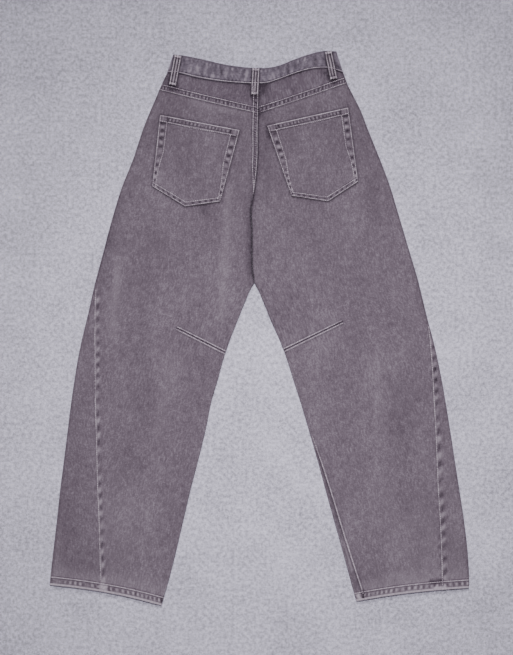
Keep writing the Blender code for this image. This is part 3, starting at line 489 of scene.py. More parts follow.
@dataclass
class Rows:
    """Many rows across one leg, which give points around its flat tube."""

    leg: Leg
    outer_y: Array
    inner_y: Array
    bow: Array
    bend: Array
    band_share: Array

    def __post_init__(self) -> None:
        """Measure every row and find its seams."""
        form = self.leg.form
        zero = np.zeros_like(self.outer_y)
        outer_x, outer_end = self.point(zero)
        inner_x, inner_end = self.point(zero + 1.0)
        self.width = np.abs(inner_x - outer_x)
        self.over = self.width - 2 * form.fold_radius + 2 * form.quarter
        self.outer_lift = form.lift(outer_end)
        self.inner_lift = form.lift(inner_end)
        self.shut = form.closed(inner_end)
        steps = np.hypot(np.diff(outer_x[:, 0]), np.diff(outer_end[:, 0]))
        self.along = np.concatenate(([0.0], np.cumsum(steps)))[:, None]
        seam = self.leg.outseam
        self.seam = self.leg.around(seam.at(np.minimum(outer_end, seam.places[-1])))
        self.seam_on_top = smooth((self.seam - form.quarter) / SEAM_RISE)
        inseam = self.leg.inseam
        turned = np.maximum(inseam.at(np.minimum(inner_end, inseam.places[-1])), 0.0)
        self.inseam = self.leg.around(zero if self.leg.side is Side.LEFT else turned)
        self.inseam_on_top = smooth((self.inseam - form.quarter) / INSEAM_RISE)

    @classmethod
    def between(cls, leg: Leg, lines: Sequence[Row], pitch: float) -> "Rows":
        """Return closely spaced rows through a table of rows.

        Args:
            leg: The half of the trousers.
            lines: The rows of the table.
            pitch: The wanted distance from row to row.

        Returns:
            The rows, from the first to the last of the table.
        """
        places = [0.0]
        for number in range(1, len(lines)):
            first, last = lines[number - 1], lines[number]
            reach = max(abs(last.outer_y - first.outer_y), abs(last.inner_y - first.inner_y))
            if number == 1:
                places.extend(step / reach for step in TOP_STEPS)
                start = TOP_STEPS[-1] / reach
            else:
                start = 0.0
            near_seam = number in DART_INTERVALS or number == len(lines) - 1
            count = max(1, math.ceil(reach * (1.0 - start) / (FINE_PITCH if near_seam else pitch)))
            shares = ((step + 1) / count for step in range(count))
            places.extend(number - 1 + mix(start, 1.0, share) for share in shares)
        index = np.arange(len(lines))
        values = [np.interp(places, index, [line[i] for line in lines])[:, None] for i in range(4)]
        return cls(leg, *values, band_share=np.zeros_like(values[0]))

    @classmethod
    def yoke(cls, leg: Leg, pitch: float) -> "Rows":
        """Return closely spaced rows from the waistband's edge to the yoke seam."""
        last = ROWS[leg.side][0]
        count = math.ceil(YOKE_REACH / pitch)
        share = np.linspace(1.0, 0.0, count + 1)[:, None]
        same = np.ones_like(share)
        return cls(
            leg, same * last.outer_y, same * last.inner_y, same * last.bow, same * 0.0, share
        )

    def point(self, share: Array) -> Pair:
        """Return x and y of the rows at shares of the way to the inner edge."""
        leg = self.leg
        sloping = np.maximum(0.0, (share - self.bend) / (1.0 - self.bend))
        y = mix(self.outer_y, self.inner_y, sloping) + self.bow * 4 * share * (1 - share)
        x = mix(leg.outer.at(y), leg.inner_x(y), share)
        end_y = BAND[0].low_y if leg.side is Side.LEFT else BAND[-1].low_y
        middle_y = BAND[len(BAND) // 2].low_y
        band_x = mix(leg.outer.at(end_y), leg.inner_x(middle_y), share)
        band_y = leg.form.low_edge.at(band_x) - leg.form.joint_gap
        return mix(x, band_x, self.band_share), mix(y, band_y, self.band_share)

    def fold(self, angle: Array, lay: Lay) -> Pair:
        """Return a fold's plan distance and height for an angle over its middle."""
        centre = self.leg.form.fold_radius
        radius = centre - (self.leg.form.wall if lay is Lay.INNER else 0.0)
        return centre - radius * np.cos(angle), centre + radius * np.sin(angle)

    def upper(self, away: Array, lay: Lay, raised: Array) -> Array:
        """Return points of the upper layer.

        Args:
            away: Distances from the outer fold's middle, over the cloth.
            lay: The cloth's face.
            raised: What the outer face stands over the plain form.

        Returns:
            An array of rows, columns and x, y, z.
        """
        form = self.leg.form
        radius = form.fold_radius
        change = -form.wall if lay is Lay.INNER else raised
        fold_plan, fold_height = self.fold(np.minimum(away, form.quarter) / radius, lay)
        back = self.over - away
        run_plan = np.clip(radius + away - form.quarter, radius, self.width - radius)
        on_fold = away < form.quarter
        plan = np.where(on_fold, fold_plan, run_plan)
        x, y = self.point(plan / self.width)
        z = np.where(on_fold, self.outer_lift + fold_height, self.leg.top_z(x, y) + change)
        end = self.inner_end(np.clip(back, 0.0, form.quarter), lay, change, 1.0)
        at_end = (back < form.quarter)[..., None]
        return np.where(at_end, end, np.stack((x, y, z), axis=-1))

    def under(self, away: Array, lay: Lay) -> Array:
        """Return points of the lower layer beside the outer fold."""
        form = self.leg.form
        plan, height = self.fold(-np.clip(away, 0.0, form.quarter) / form.fold_radius, lay)
        x, y = self.point(plan / self.width)
        return np.stack((x, y, self.outer_lift + height), axis=-1)

    def floor(self, share: Array, lay: Lay) -> Array:
        """Return points of the lower layer between its folds."""
        form = self.leg.form
        plan = mix(form.fold_radius, self.width - form.fold_radius, share)
        x, y = self.point(plan / self.width)
        wall = form.wall if lay is Lay.INNER else 0.0
        return np.stack((x, y, form.lift(y) + wall), axis=-1)

    def inner_end(self, back: Array, lay: Lay, change: Array, sign: float) -> Array:
        """Return points by the inner edge: a fold in a leg, a cut at the seam."""
        form = self.leg.form
        plan, height = self.fold(sign * back / form.fold_radius, lay)
        fold_x, fold_y = self.point((self.width - plan) / self.width)
        cut_plan = self.width - form.fold_radius * back / form.quarter
        cut_x, cut_y = self.point(cut_plan / self.width)
        if sign > 0:
            cut_z = self.leg.top_z(cut_x, cut_y) + change
        else:
            cut_z = form.lift(cut_y) + (form.wall if lay is Lay.INNER else 0.0)
        return np.stack(
            (
                mix(cut_x, fold_x, self.shut),
                mix(cut_y, fold_y, self.shut),
                mix(cut_z, self.inner_lift + height, self.shut),
            ),
            axis=-1,
        )


class Sketch:
    """A short way to add and join the nodes of one tree."""

    def __init__(self, tree: bpy.types.NodeTree) -> None:
        """Keep the tree that the nodes go in."""
        self.tree = tree
        self.shader = tree.nodes.get("Principled BSDF")

    @classmethod
    def of_material(
        cls, name: str, values: dict[str, float]
    ) -> tuple[bpy.types.Material, "Sketch"]:
        """Return a new material and its sketch.

        Args:
            name: The material's name.
            values: The values of the shader's sockets that nothing drives.

        Returns:
            The material, and the sketch of its nodes.
        """
        material = bpy.data.materials.new(name)
        material.use_nodes = True
        sketch = cls(material.node_tree)
        for socket, value in values.items():
            sketch.shader.inputs[socket].default_value = value
        return material, sketch

    def drive(self, socket: str, value: Socket) -> None:
        """Join a value to a socket of the shader."""
        self.tree.links.new(value, self.shader.inputs[socket])

    def add(
        self, kind: str, inputs: Optional[dict[object, object]] = None, **settings: object
    ) -> bpy.types.Node:
        """Add a node.

        Args:
            kind: The node's type, such as ShaderNodeMath.
            inputs: Values or other nodes' outputs, by the socket that gets them.
            **settings: The node's properties by name.

        Returns:
            The new node.
        """
        node = self.tree.nodes.new(kind)
        for name, value in settings.items():
            setattr(node, name, value)
        for name, value in (inputs or {}).items():
            if isinstance(value, Socket):
                self.tree.links.new(value, node.inputs[name])
            else:
                node.inputs[name].default_value = value
        return node

    def place(self) -> Socket:
        """Return the place on the object."""
        return self.add("ShaderNodeTexCoord").outputs["Object"]

    def math(self, operation: str, first: object, second: object = 0.0) -> Socket:
        """Return the output of a sum or product of two values."""
        return self.add("ShaderNodeMath", {0: first, 1: second}, operation=operation).outputs[0]

    def weighted(self, parts: Sequence[tuple[object, float]], base: float = 0.0) -> Socket:
        """Return a base with each value added by its weight."""
        total = base
        for value, weight in parts:
            total = self.math("ADD", total, self.math("MULTIPLY", value, weight))
        return total

    def noise(self, vector: Socket, scale: float, detail: float, rough: float = 0.5) -> Socket:
        """Return a noise value from 0 to 1 over a vector."""
        inputs = {"Vector": vector, "Scale": scale, "Detail": detail, "Roughness": rough}
        return self.add("ShaderNodeTexNoise", inputs).outputs["Fac"]

    def stretched(self, vector: Socket, scale: Triple) -> Socket:
        """Return a vector with each direction scaled."""
        inputs = {"Vector": vector, "Scale": scale}
        return self.add("ShaderNodeMapping", inputs).outputs["Vector"]

    def spread(self, value: Socket, low: float, high: float) -> Socket:
        """Return a value drawn out so that low gives 0 and high gives 1."""
        inputs = {"Value": value, "From Min": low, "From Max": high}
        return self.add("ShaderNodeMapRange", inputs).outputs["Result"]

    def ranged(self, value: Socket, first: float, last: float) -> Socket:
        """Return a value from 0 to 1 as one from first to last."""
        inputs = {"Value": value, "To Min": first, "To Max": last}
        return self.add("ShaderNodeMapRange", inputs).outputs["Result"]

    def blend(self, share: object, first: object, second: object) -> Socket:
        """Return a colour between two colours."""
        ends = [(*end, 1.0) if isinstance(end, tuple) else end for end in (first, second)]
        inputs = {0: share, 6: ends[0], 7: ends[1]}
        node = self.add("ShaderNodeMix", inputs, data_type="RGBA", clamp_factor=True)
        return node.outputs[2]


class SharedGroup:
    """A node group that several materials share."""

    NAME = ""
    ENTRY = ""
    RESULTS: tuple[str, ...] = ()

    @classmethod
    def values(cls, sketch: Sketch, entry: Socket) -> tuple[Socket, ...]:
        """Return the group's results in their order."""
        raise NotImplementedError

    @classmethod
    def group(cls) -> bpy.types.NodeTree:
        """Return the node group, built once."""
        known = bpy.data.node_groups.get(cls.NAME)
        if known:
            return known
        tree = bpy.data.node_groups.new(cls.NAME, "ShaderNodeTree")
        tree.interface.new_socket(cls.ENTRY, in_out="INPUT", socket_type="NodeSocketVector")
        for name in cls.RESULTS:
            tree.interface.new_socket(name, in_out="OUTPUT", socket_type="NodeSocketFloat")
        sketch = Sketch(tree)
        entry = sketch.add("NodeGroupInput")
        leave = sketch.add("NodeGroupOutput")
        for name, value in zip(cls.RESULTS, cls.values(sketch, entry.outputs[cls.ENTRY])):
            tree.links.new(value, leave.inputs[name])
        return tree


class DenimYarns(SharedGroup):
    """The node group of twill yarns: streaks, flecks, the diagonal and its height."""

    NAME = "twill yarns"
    ENTRY = "Grain"
    RESULTS = ("Streaks", "Flecks", "Twill", "Height")

    @classmethod
    def values(cls, sketch: Sketch, entry: Socket) -> tuple[Socket, ...]:
        """Return the streaks, flecks, diagonal and height of the yarns."""
        long_yarns = sketch.noise(sketch.stretched(entry, (340.0, 120.0, 1.0)), 1.0, 2.0)
        short_yarns = sketch.noise(sketch.stretched(entry, (320.0, 300.0, 1.0)), 1.0, 2.0)
        streaks = sketch.weighted(((long_yarns, 0.55), (short_yarns, 0.45)))
        flecks = sketch.noise(sketch.stretched(entry, (760.0, 520.0, 1.0)), 1.0, 4.0, 0.75)
        inputs = {
            "Vector": sketch.stretched(entry, (1.0, 0.6, 0.0)),
            "Scale": 260.0,
            "Distortion": 1.2,
            "Detail": 1.0,
            "Detail Scale": 2.0,
        }
        wave = sketch.add(
            "ShaderNodeTexWave", inputs, wave_type="BANDS", bands_direction="DIAGONAL"
        )
        twill = wave.outputs["Fac"]
        height = sketch.weighted(((twill, 0.5), (flecks, 0.5)))
        return sketch.spread(streaks, 0.34, 0.66), sketch.spread(flecks, 0.3, 0.7), twill, height


class WashWear(SharedGroup):
    """The node group of the wash: soft patches and broken spots for worn places."""

    NAME = "wash and wear"
    ENTRY = "Place"
    RESULTS = ("Patches", "Mottle", "Breaks")

    @classmethod
    def values(cls, sketch: Sketch, entry: Socket) -> tuple[Socket, ...]:
        """Return the patches, the mottle and the breaks."""
        patches = sketch.noise(sketch.stretched(entry, (13.0, 7.0, 5.0)), 1.0, 3.0, 0.55)
        mottle = sketch.noise(sketch.stretched(entry, (90.0, 60.0, 40.0)), 1.0, 3.0, 0.6)
        breaks = sketch.noise(sketch.stretched(entry, (330.0, 330.0, 100.0)), 1.0, 3.0, 0.6)
        low, high = 0.3, 0.7
        return (
            sketch.spread(patches, low, high),
            sketch.spread(mottle, low, high),
            sketch.spread(breaks, 0.35, 0.65),
        )


@dataclass(frozen=True)
class DenimFinish:
    """Washed denim: its colours, lighter for wear and painted highlights, darker for dye and
    painted shade.
    """

    name: str
    plain: Triple
    # Lighter colour for tone over 0: wear, and painted highlights.
    worn: Triple = (0.62, 0.53, 0.63)
    # Darker colour for tone under 0: darker dye, and painted shade.
    deep_and_painted_shade: Triple = (0.030, 0.018, 0.033)
    yarn_light: Triple = (0.35, 0.292, 0.362)
    yarn_dark: Triple = (0.076, 0.053, 0.078)
    bump_height: float = 0.00022

    def material(self) -> bpy.types.Material:
        """Return the denim's material."""
        values = {
            "Roughness": 0.94,
            "Specular IOR Level": 0.18,
            "Sheen Weight": 0.12,
            "Sheen Roughness": 0.6,
        }
        material, sketch = Sketch.of_material(self.name, values)
        grain = sketch.add("ShaderNodeUVMap", uv_map="grain").outputs["UV"]
        place = sketch.place()
        tone = sketch.add("ShaderNodeAttribute", attribute_name="tone").outputs["Fac"]
        kind = "ShaderNodeGroup"
        yarns = sketch.add(kind, {"Grain": grain}, node_tree=DenimYarns.group()).outputs
        wash = sketch.add(kind, {"Place": place}, node_tree=WashWear.group()).outputs
        parts = (
            (yarns["Streaks"], 0.42),
            (yarns["Flecks"], 0.5),
            (wash["Patches"], 0.18),
            (wash["Mottle"], 0.2),
        )
        yarn = sketch.weighted(parts, 0.5 - sum(weight for _, weight in parts) / 2)
        colour = sketch.blend(sketch.spread(yarn, 0.5, 1.0), self.plain, self.yarn_light)
        colour = sketch.blend(sketch.spread(yarn, 0.5, 0.0), colour, self.yarn_dark)
        breaks = sketch.ranged(wash["Breaks"], 0.6, 1.0)
        # Tone over 0 blends in wear and painted highlights; tone under 0 blends in darker dye and
        # painted shade.
        for way, shade in ((1.0, self.worn), (-1.0, self.deep_and_painted_shade)):
            amount = sketch.math("MAXIMUM", sketch.math("MULTIPLY", tone, way), 0.0)
            colour = sketch.blend(sketch.math("MULTIPLY", amount, breaks), colour, shade)
        sketch.drive("Base Color", colour)
        sketch.drive("Roughness", sketch.ranged(yarns["Flecks"], 0.88, 1.0))
        inputs = {"Height": yarns["Height"], "Distance": self.bump_height, "Strength": 0.8}
        sketch.drive("Normal", sketch.add("ShaderNodeBump", inputs).outputs["Normal"])
        return material


@dataclass(frozen=True)
class ThreadFinish:
    """Sewing thread, in the tone of the cloth and a little lighter."""

    name: str = "tonal thread"
    light: Triple = (0.88, 0.76, 0.88)
    dark: Triple = (0.4, 0.32, 0.4)

    def material(self) -> bpy.types.Material:
        """Return the thread's material."""
        material, sketch = Sketch.of_material(self.name, {"Specular IOR Level": 0.3})
        place = sketch.place()
        faded = sketch.spread(sketch.noise(place, 150.0, 3.0), 0.38, 0.58)
        twist = sketch.noise(place, 2600.0, 1.0)
        sketch.drive("Base Color", sketch.blend(faded, self.dark, self.light))
        sketch.drive("Roughness", sketch.ranged(twist, 0.6, 0.85))
        return material


@dataclass(frozen=True)
class MetalFinish:
    """Dull worn metal of the waist button."""

    name: str = "worn button metal"
    bright: Triple = (0.42, 0.40, 0.38)
    dull: Triple = (0.20, 0.19, 0.18)

    def material(self) -> bpy.types.Material:
        """Return the metal's material."""
        material, sketch = Sketch.of_material(self.name, {"Metallic": 1.0})
        stain = sketch.spread(sketch.noise(sketch.place(), 320.0, 4.0, 0.6), 0.35, 0.65)
        sketch.drive("Base Color", sketch.blend(stain, self.dull, self.bright))
        sketch.drive("Roughness", sketch.ranged(stain, 0.55, 0.35))
        return material


def placed(name: str, data: bpy.types.ID) -> bpy.types.Object:
    """Return a new object of the scene that shows its data."""
    thing = bpy.data.objects.new(name, data)
    bpy.context.scene.collection.objects.link(thing)
    return thing


@dataclass
class Shell:
    """The grids of one cloth piece, in the drawing's millimetres."""

    name: str
    outer: Array
    inner: Array
    grain: Array
    tone: Array

    def build(self, shift: Vector, finish: bpy.types.Material) -> "Made":
        """Make the piece as one closed thin shell.

        Args:
            shift: From the drawing to the part's frame, in metres.
            finish: The cloth's material.

        Returns:
            The new object, at the origin, and this shell.
        """
        rows, columns = self.outer.shape[:2]
        points = np.concatenate((self.outer.reshape(-1, 3), self.inner.reshape(-1, 3)))
        points = points * METRES + np.array(shift)
        index = np.arange(rows * columns).reshape(rows, columns)
        under = index + rows * columns
        faces = [
            np.stack((index[:-1, :-1], index[1:, :-1], index[1:, 1:], index[:-1, 1:]), axis=-1),
            np.stack((under[:-1, :-1], under[:-1, 1:], under[1:, 1:], under[1:, :-1]), axis=-1),
        ]
        for near, far, side in (
            (index[:, 0], under[:, 0], 1),
            (index[:, -1], under[:, -1], -1),
            (index[0, :], under[0, :], -1),
            (index[-1, :], under[-1, :], 1),
        ):
            strip = np.stack((near[:-1], far[:-1], far[1:], near[1:]), axis=-1)
            faces.append(strip[:, ::side])
        quads = np.concatenate([face.reshape(-1, 4) for face in faces])
        mesh = bpy.data.meshes.new(self.name)
        mesh.from_pydata(points.tolist(), [], quads.tolist())
        tone = mesh.attributes.new("tone", "FLOAT", "POINT")
        tone.data.foreach_set("value", np.tile(np.clip(self.tone, -1, 1).ravel(), 2))
        grain = np.tile(self.grain.reshape(-1, 2) * METRES, (2, 1))
        grain_map = mesh.uv_layers.new(name="grain")
        grain_map.data.foreach_set("uv", grain[quads.ravel()].ravel())
        form = bmesh.new()
        form.from_mesh(mesh)
        bmesh.ops.remove_doubles(form, verts=form.verts, dist=4e-6)
        bmesh.ops.dissolve_degenerate(form, edges=form.edges, dist=2e-6)
        bmesh.ops.recalc_face_normals(form, faces=form.faces)
        for face in form.faces:
            face.smooth = True
        form.to_mesh(mesh)
        form.free()
        mesh.materials.append(finish)
        return placed(self.name, mesh), self

    def flat_size(self) -> tuple[float, float, float]:
        """Return the cloth's flat width, length and area in metres."""
        across = np.linalg.norm(np.diff(self.outer, axis=1), axis=2)
        down = np.linalg.norm(np.diff(self.outer, axis=0), axis=2)
        first = self.outer[1:, :-1] - self.outer[:-1, :-1]
        second = self.outer[:-1, 1:] - self.outer[:-1, :-1]
        third = self.outer[1:, :-1] - self.outer[1:, 1:]
        fourth = self.outer[:-1, 1:] - self.outer[1:, 1:]
        area = np.linalg.norm(np.cross(first, second), axis=2).sum() / 2
        area += np.linalg.norm(np.cross(third, fourth), axis=2).sum() / 2
        width = float(across.sum(axis=1).max()) * METRES
        length = float(down.sum(axis=0).max()) * METRES
        return width, length, min(float(area) * METRES * METRES, width * length)


Made = tuple[bpy.types.Object, Shell]


@dataclass(frozen=True)
class SeamRidge:
    """The ridge of turned cloth along a seam, with the puckers of its sewing."""

    width: float
    height: float
    pucker: float
    ripple: Ripple
    belly_at: float
    belly_width: float
    slant: float = 0.3
    dark: float = 0.8
    light: float = 0.4
    edge_light: float = 0.5
    edge_width: float = 0.8
    edge_at: float = 0.7
    groove: float = 0.4
    rows: tuple[float, ...] = ()
    row_light: float = 0.15
    row_dark: float = 0.5
    beyond_dark: float = 0.3

    def wave(self, away: Array, along: Array) -> Array:
        """Return the pucker wave, which runs on a slant over the ridge."""
        return self.ripple.at(along + self.slant * away)

    def belly(self, away: Array) -> Array:
        """Return where across the ridge the puckers are deep."""
        return bump(away - self.belly_at, self.belly_width)

    def relief(self, away: Array, along: Array) -> Array:
        """Return the height over the plain cloth.

        Args:
            away: Distance from the seam, on the raised side.
            along: Distance along the seam.

        Returns:
            The height in millimetres.
        """
        ridge = self.height * (1.0 - smooth((away - self.width) / 2.2))
        puckers = self.pucker * self.wave(away, along) * self.belly(away)
        drawn = sum(bump(away - row, 0.8) for row in self.rows) if self.rows else 0.0
        return ridge + puckers - self.groove * bump(away, 0.55) - 0.12 * drawn

    def tone(self, away: Array, along: Array) -> Array:
        """Return the tone: lighter for wear on crests and edges, darker for dye and painted shade
        in hollows and beside the ridge.
        """
        wave = self.wave(away, along)
        crest = smooth((wave - 0.15) / 0.7)
        hollow = smooth((-wave - 0.15) / 0.45)
        total = self.belly(away) * (self.light * crest - self.dark * hollow)
        edge = bump(away - self.edge_at, self.edge_width)
        beyond = away - self.edge_at - 0.9 - self.edge_width
        total = total + self.edge_light * edge - self.beyond_dark * bump(beyond, 0.8)
        for row in self.rows:
            beside = bump(np.abs(away - row) - 1.7, 0.8)
            total = total + self.row_light * bump(away - row, 0.8) - self.row_dark * beside
        return total


EDGE_STEPS = np.array(
    (0, 0.3, 0.6, 1.0, 1.4, 1.9, 2.4, 3, 3.8, 4.6, 5.5, 6.5, 7.5, 8.5, 9.5, 10.5, 12, 14, 17.0)
)
OUTSEAM_RIDGES = {
    Side.LEFT: SeamRidge(
        8.5, 0.5, 0.42, Ripple(23.0, 5, 0.5), 5.2, 3.0, slant=0.7, dark=0.7, light=0.5,
        edge_light=0.4, groove=0.2, beyond_dark=-0.1,
    ),
    Side.RIGHT: SeamRidge(
        8.5, 0.5, 0.42, Ripple(24.5, 15, 0.5), 6.0, 4.2, slant=0.7, dark=0.75, light=0.45,
        edge_light=0.3, groove=0.2, beyond_dark=-0.1,
    ),
}
MIDDLE_RIDGE = SeamRidge(
    9.5, 0.5, 0.22, Ripple(6.6, 6, 0.6), 5.2, 2.2, dark=1.4, light=0.6, edge_light=0.95,
    rows=(8.9,), row_light=0.6, row_dark=0.9,
)
YOKE_RIDGE = SeamRidge(
    11.3, 0.5, 0.24, Ripple(6.8, 7, 0.6), 5.7, 2.6, dark=1.7, light=0.6, edge_light=0.8,
    rows=(10.4,), row_light=0.5, row_dark=0.9,
)
HEM_ROW_AWAY = 15.3
HEM_RIDGE = SeamRidge(
    16.4, 0.5, 0.32, Ripple(9.8, 8, 0.5), 8.8, 2.8, slant=0.1, dark=0.6, light=0.85,
    edge_light=2.8, edge_width=1.7, edge_at=1.9, rows=(HEM_ROW_AWAY,), row_light=1.35,
    row_dark=0.85,
)
LOW_SIDE = SeamRidge(
    5.0, 0.0, 0.12, Ripple(20.0, 5, 0.5), 2.0, 2.0, slant=-0.7, dark=0.2, light=0.1,
    edge_light=-0.1, groove=0.2, beyond_dark=0.0,
)


VALLEY_END_Y = 72.0
VALLEY_RUN = 20.0
HEM_DEPTH = 15.0
HEM_OWN_TONE = 0.7
HEM_FADE = 0.15
HEM_FADE_AT = 18.0
HEM_FADE_REACH = 20.0
MIDDLE_END_Y = 238.0
SEAM_ROW_AWAY = 1.2
DART_ROW_AWAY = 2.3
MIDDLE_NARROWING = 70.0
# Painted shade in the crotch valley, painted shadow on the left leg beside it, and a painted
# highlight on the right leg's rim.
VALLEY_SHADE_AND_HIGHLIGHT = {
    Side.LEFT: table(Stripe, (-1.0, 0.8, 2.0), (-0.35, 2.0, 8.0)),
    Side.RIGHT: table(Stripe, (-1.0, 0.8, 2.0), (0.16, 5.0, 2.5)),
}
FORK_GROOVE = table(Stripe, (-0.35, 0.0, 0.8))
# Painted shadow on the right panel beside the lapped centre seam.
FORK_SHADOW = table(Stripe, (-0.9, 0.6, 1.6), (-0.3, 0.0, 8.0))
INSEAM_GROOVE = table(Stripe, (-0.35, 0.0, 0.7))
INSEAM_TONE = table(Stripe, (0.8, 0.9, 1.2), (-0.3, 4.0, 1.0))
# Painted shadow on the front's inner strip beside the inseam.
INSEAM_SHADOW = table(Stripe, (-0.6, 1.2, 1.6))
INSEAM_STRIP_DARK = 0.16
YOKE_GROOVE = table(Stripe, (-0.25, 0.0, 0.9))
# Painted shadow on the back panel just below the yoke seam.
BELOW_YOKE_SHADOW = table(Stripe, (-0.55, 0.8, 1.6))
# Painted shadow on the yoke just below the waistband's edge.
BELOW_BAND_SHADOW = table(Stripe, (-0.75, 0.6, 1.6), (-0.2, 0.0, 6.0))
DART_WELT = table(Stripe, (0.55, -2.6, 2.4), (0.3, 2.6, 2.2), (-0.55, 0.0, 0.9))
DART_PUCKERS = table(Stripe, (0.12, 0.0, 5.0))
# Painted shade along the dart's crease.
DART_CREASE_SHADE = table(Stripe, (-1.0, 0.0, 1.3))
DART_WORN = table(Stripe, (1.0, 2.5, 1.1))
# Painted shade just past the dart's welts.
DART_BESIDE = table(Stripe, (-0.35, 5.0, 1.1))
DART_TIP = table(Stripe, (-1.1, 0.0, 2.6))
POCKET_GROOVE = table(Stripe, (-0.55, 0.0, 0.7))
POCKET_BLOCK_EDGE = table(Stripe, (0.3, 1.0, 1.0))
POCKET_BLOCK_ROW = table(Stripe, (0.3, 6.5, 1.0))
# Painted shade at the inner edges of the turned-under allowance in the pocket's top corners.
POCKET_BELOW_BLOCK_SHADE = table(Stripe, (-1.2, 13.4, 1.5))
POCKET_BESIDE_BLOCK_SHADE = table(Stripe, (-1.0, 15.0, 1.3))
POCKET_WORN_CORNER = table(Stripe, (0.3, 0.0, 22.0))
LOOP_EDGE_RELIEF = table(Stripe, (0.22, 2.0, 1.2), (-0.5, 0.0, 0.6))
LOOP_END_RELIEF = table(Stripe, (0.25, 3.0, 2.0), (-0.4, 0.0, 0.6))
# Wear on the loop's folded edges, with painted shade at the very edge where it turns down.
LOOP_EDGE_TONE = table(Stripe, (0.95, 0.9, 0.9), (-0.7, 0.0, 0.6))
LOOP_MIDDLE_TONE = table(Stripe, (0.8, 0.0, 1.2))
LOOP_ROW_TONE = table(Stripe, (-1.4, 2.9, 1.2))
LOOP_END_TONE = table(Stripe, (0.75, 2.6, 1.6), (-0.8, 6.2, 1.3))
LOOP_WIDTH = 13.0
LOOP_ROW_AWAY = 4.7
LOOP_TACK = 11.2
# Painted shadow beside the back loops: its depth and reach.
LOOP_SHADOW = 1.1
LOOP_SHADOW_REACH = 2.6


def with_hem(tone: Array, from_hem: Array, along: Array, on_top: Array) -> Array:
    """Return a panel's tone with that of its hem.

    Args:
        tone: The panel's tone without the hem.
        from_hem: Distances from the hem's edge.
        along: Distances along the hem.
        on_top: 1 where the panel faces up and 0 underneath.

    Returns:
        The tone with the sewn hem, and lighter just over it.
    """
    within = 1.0 - smooth((from_hem - HEM_DEPTH) / 2.0)
    fade = on_top * HEM_FADE * bump(from_hem - HEM_FADE_AT, HEM_FADE_REACH)
    return tone * (1.0 - HEM_OWN_TONE * within) + HEM_RIDGE.tone(from_hem, along) + fade


def middle_width(y: Array) -> Array:
    """Return how wide the centre seam's ridge is, as a share, at heights."""
    return smooth((y - MIDDLE_END_Y) / MIDDLE_NARROWING)


def loop_shade(x: Array, y: Array) -> Array:
    """Return the painted shadow on the cloth close beside the back belt loops."""
    total = np.zeros_like(x)
    for loop in LOOPS:
        if not loop.front:
            line = Fold(loop.top_x, loop.top_y, loop.low_x, loop.low_y, 0.0, 0.0)
            beside = np.maximum(from_line(line, x, y) - LOOP_WIDTH / 2, 0.0)
            total = total - LOOP_SHADOW * bump(beside, LOOP_SHADOW_REACH)
    return total


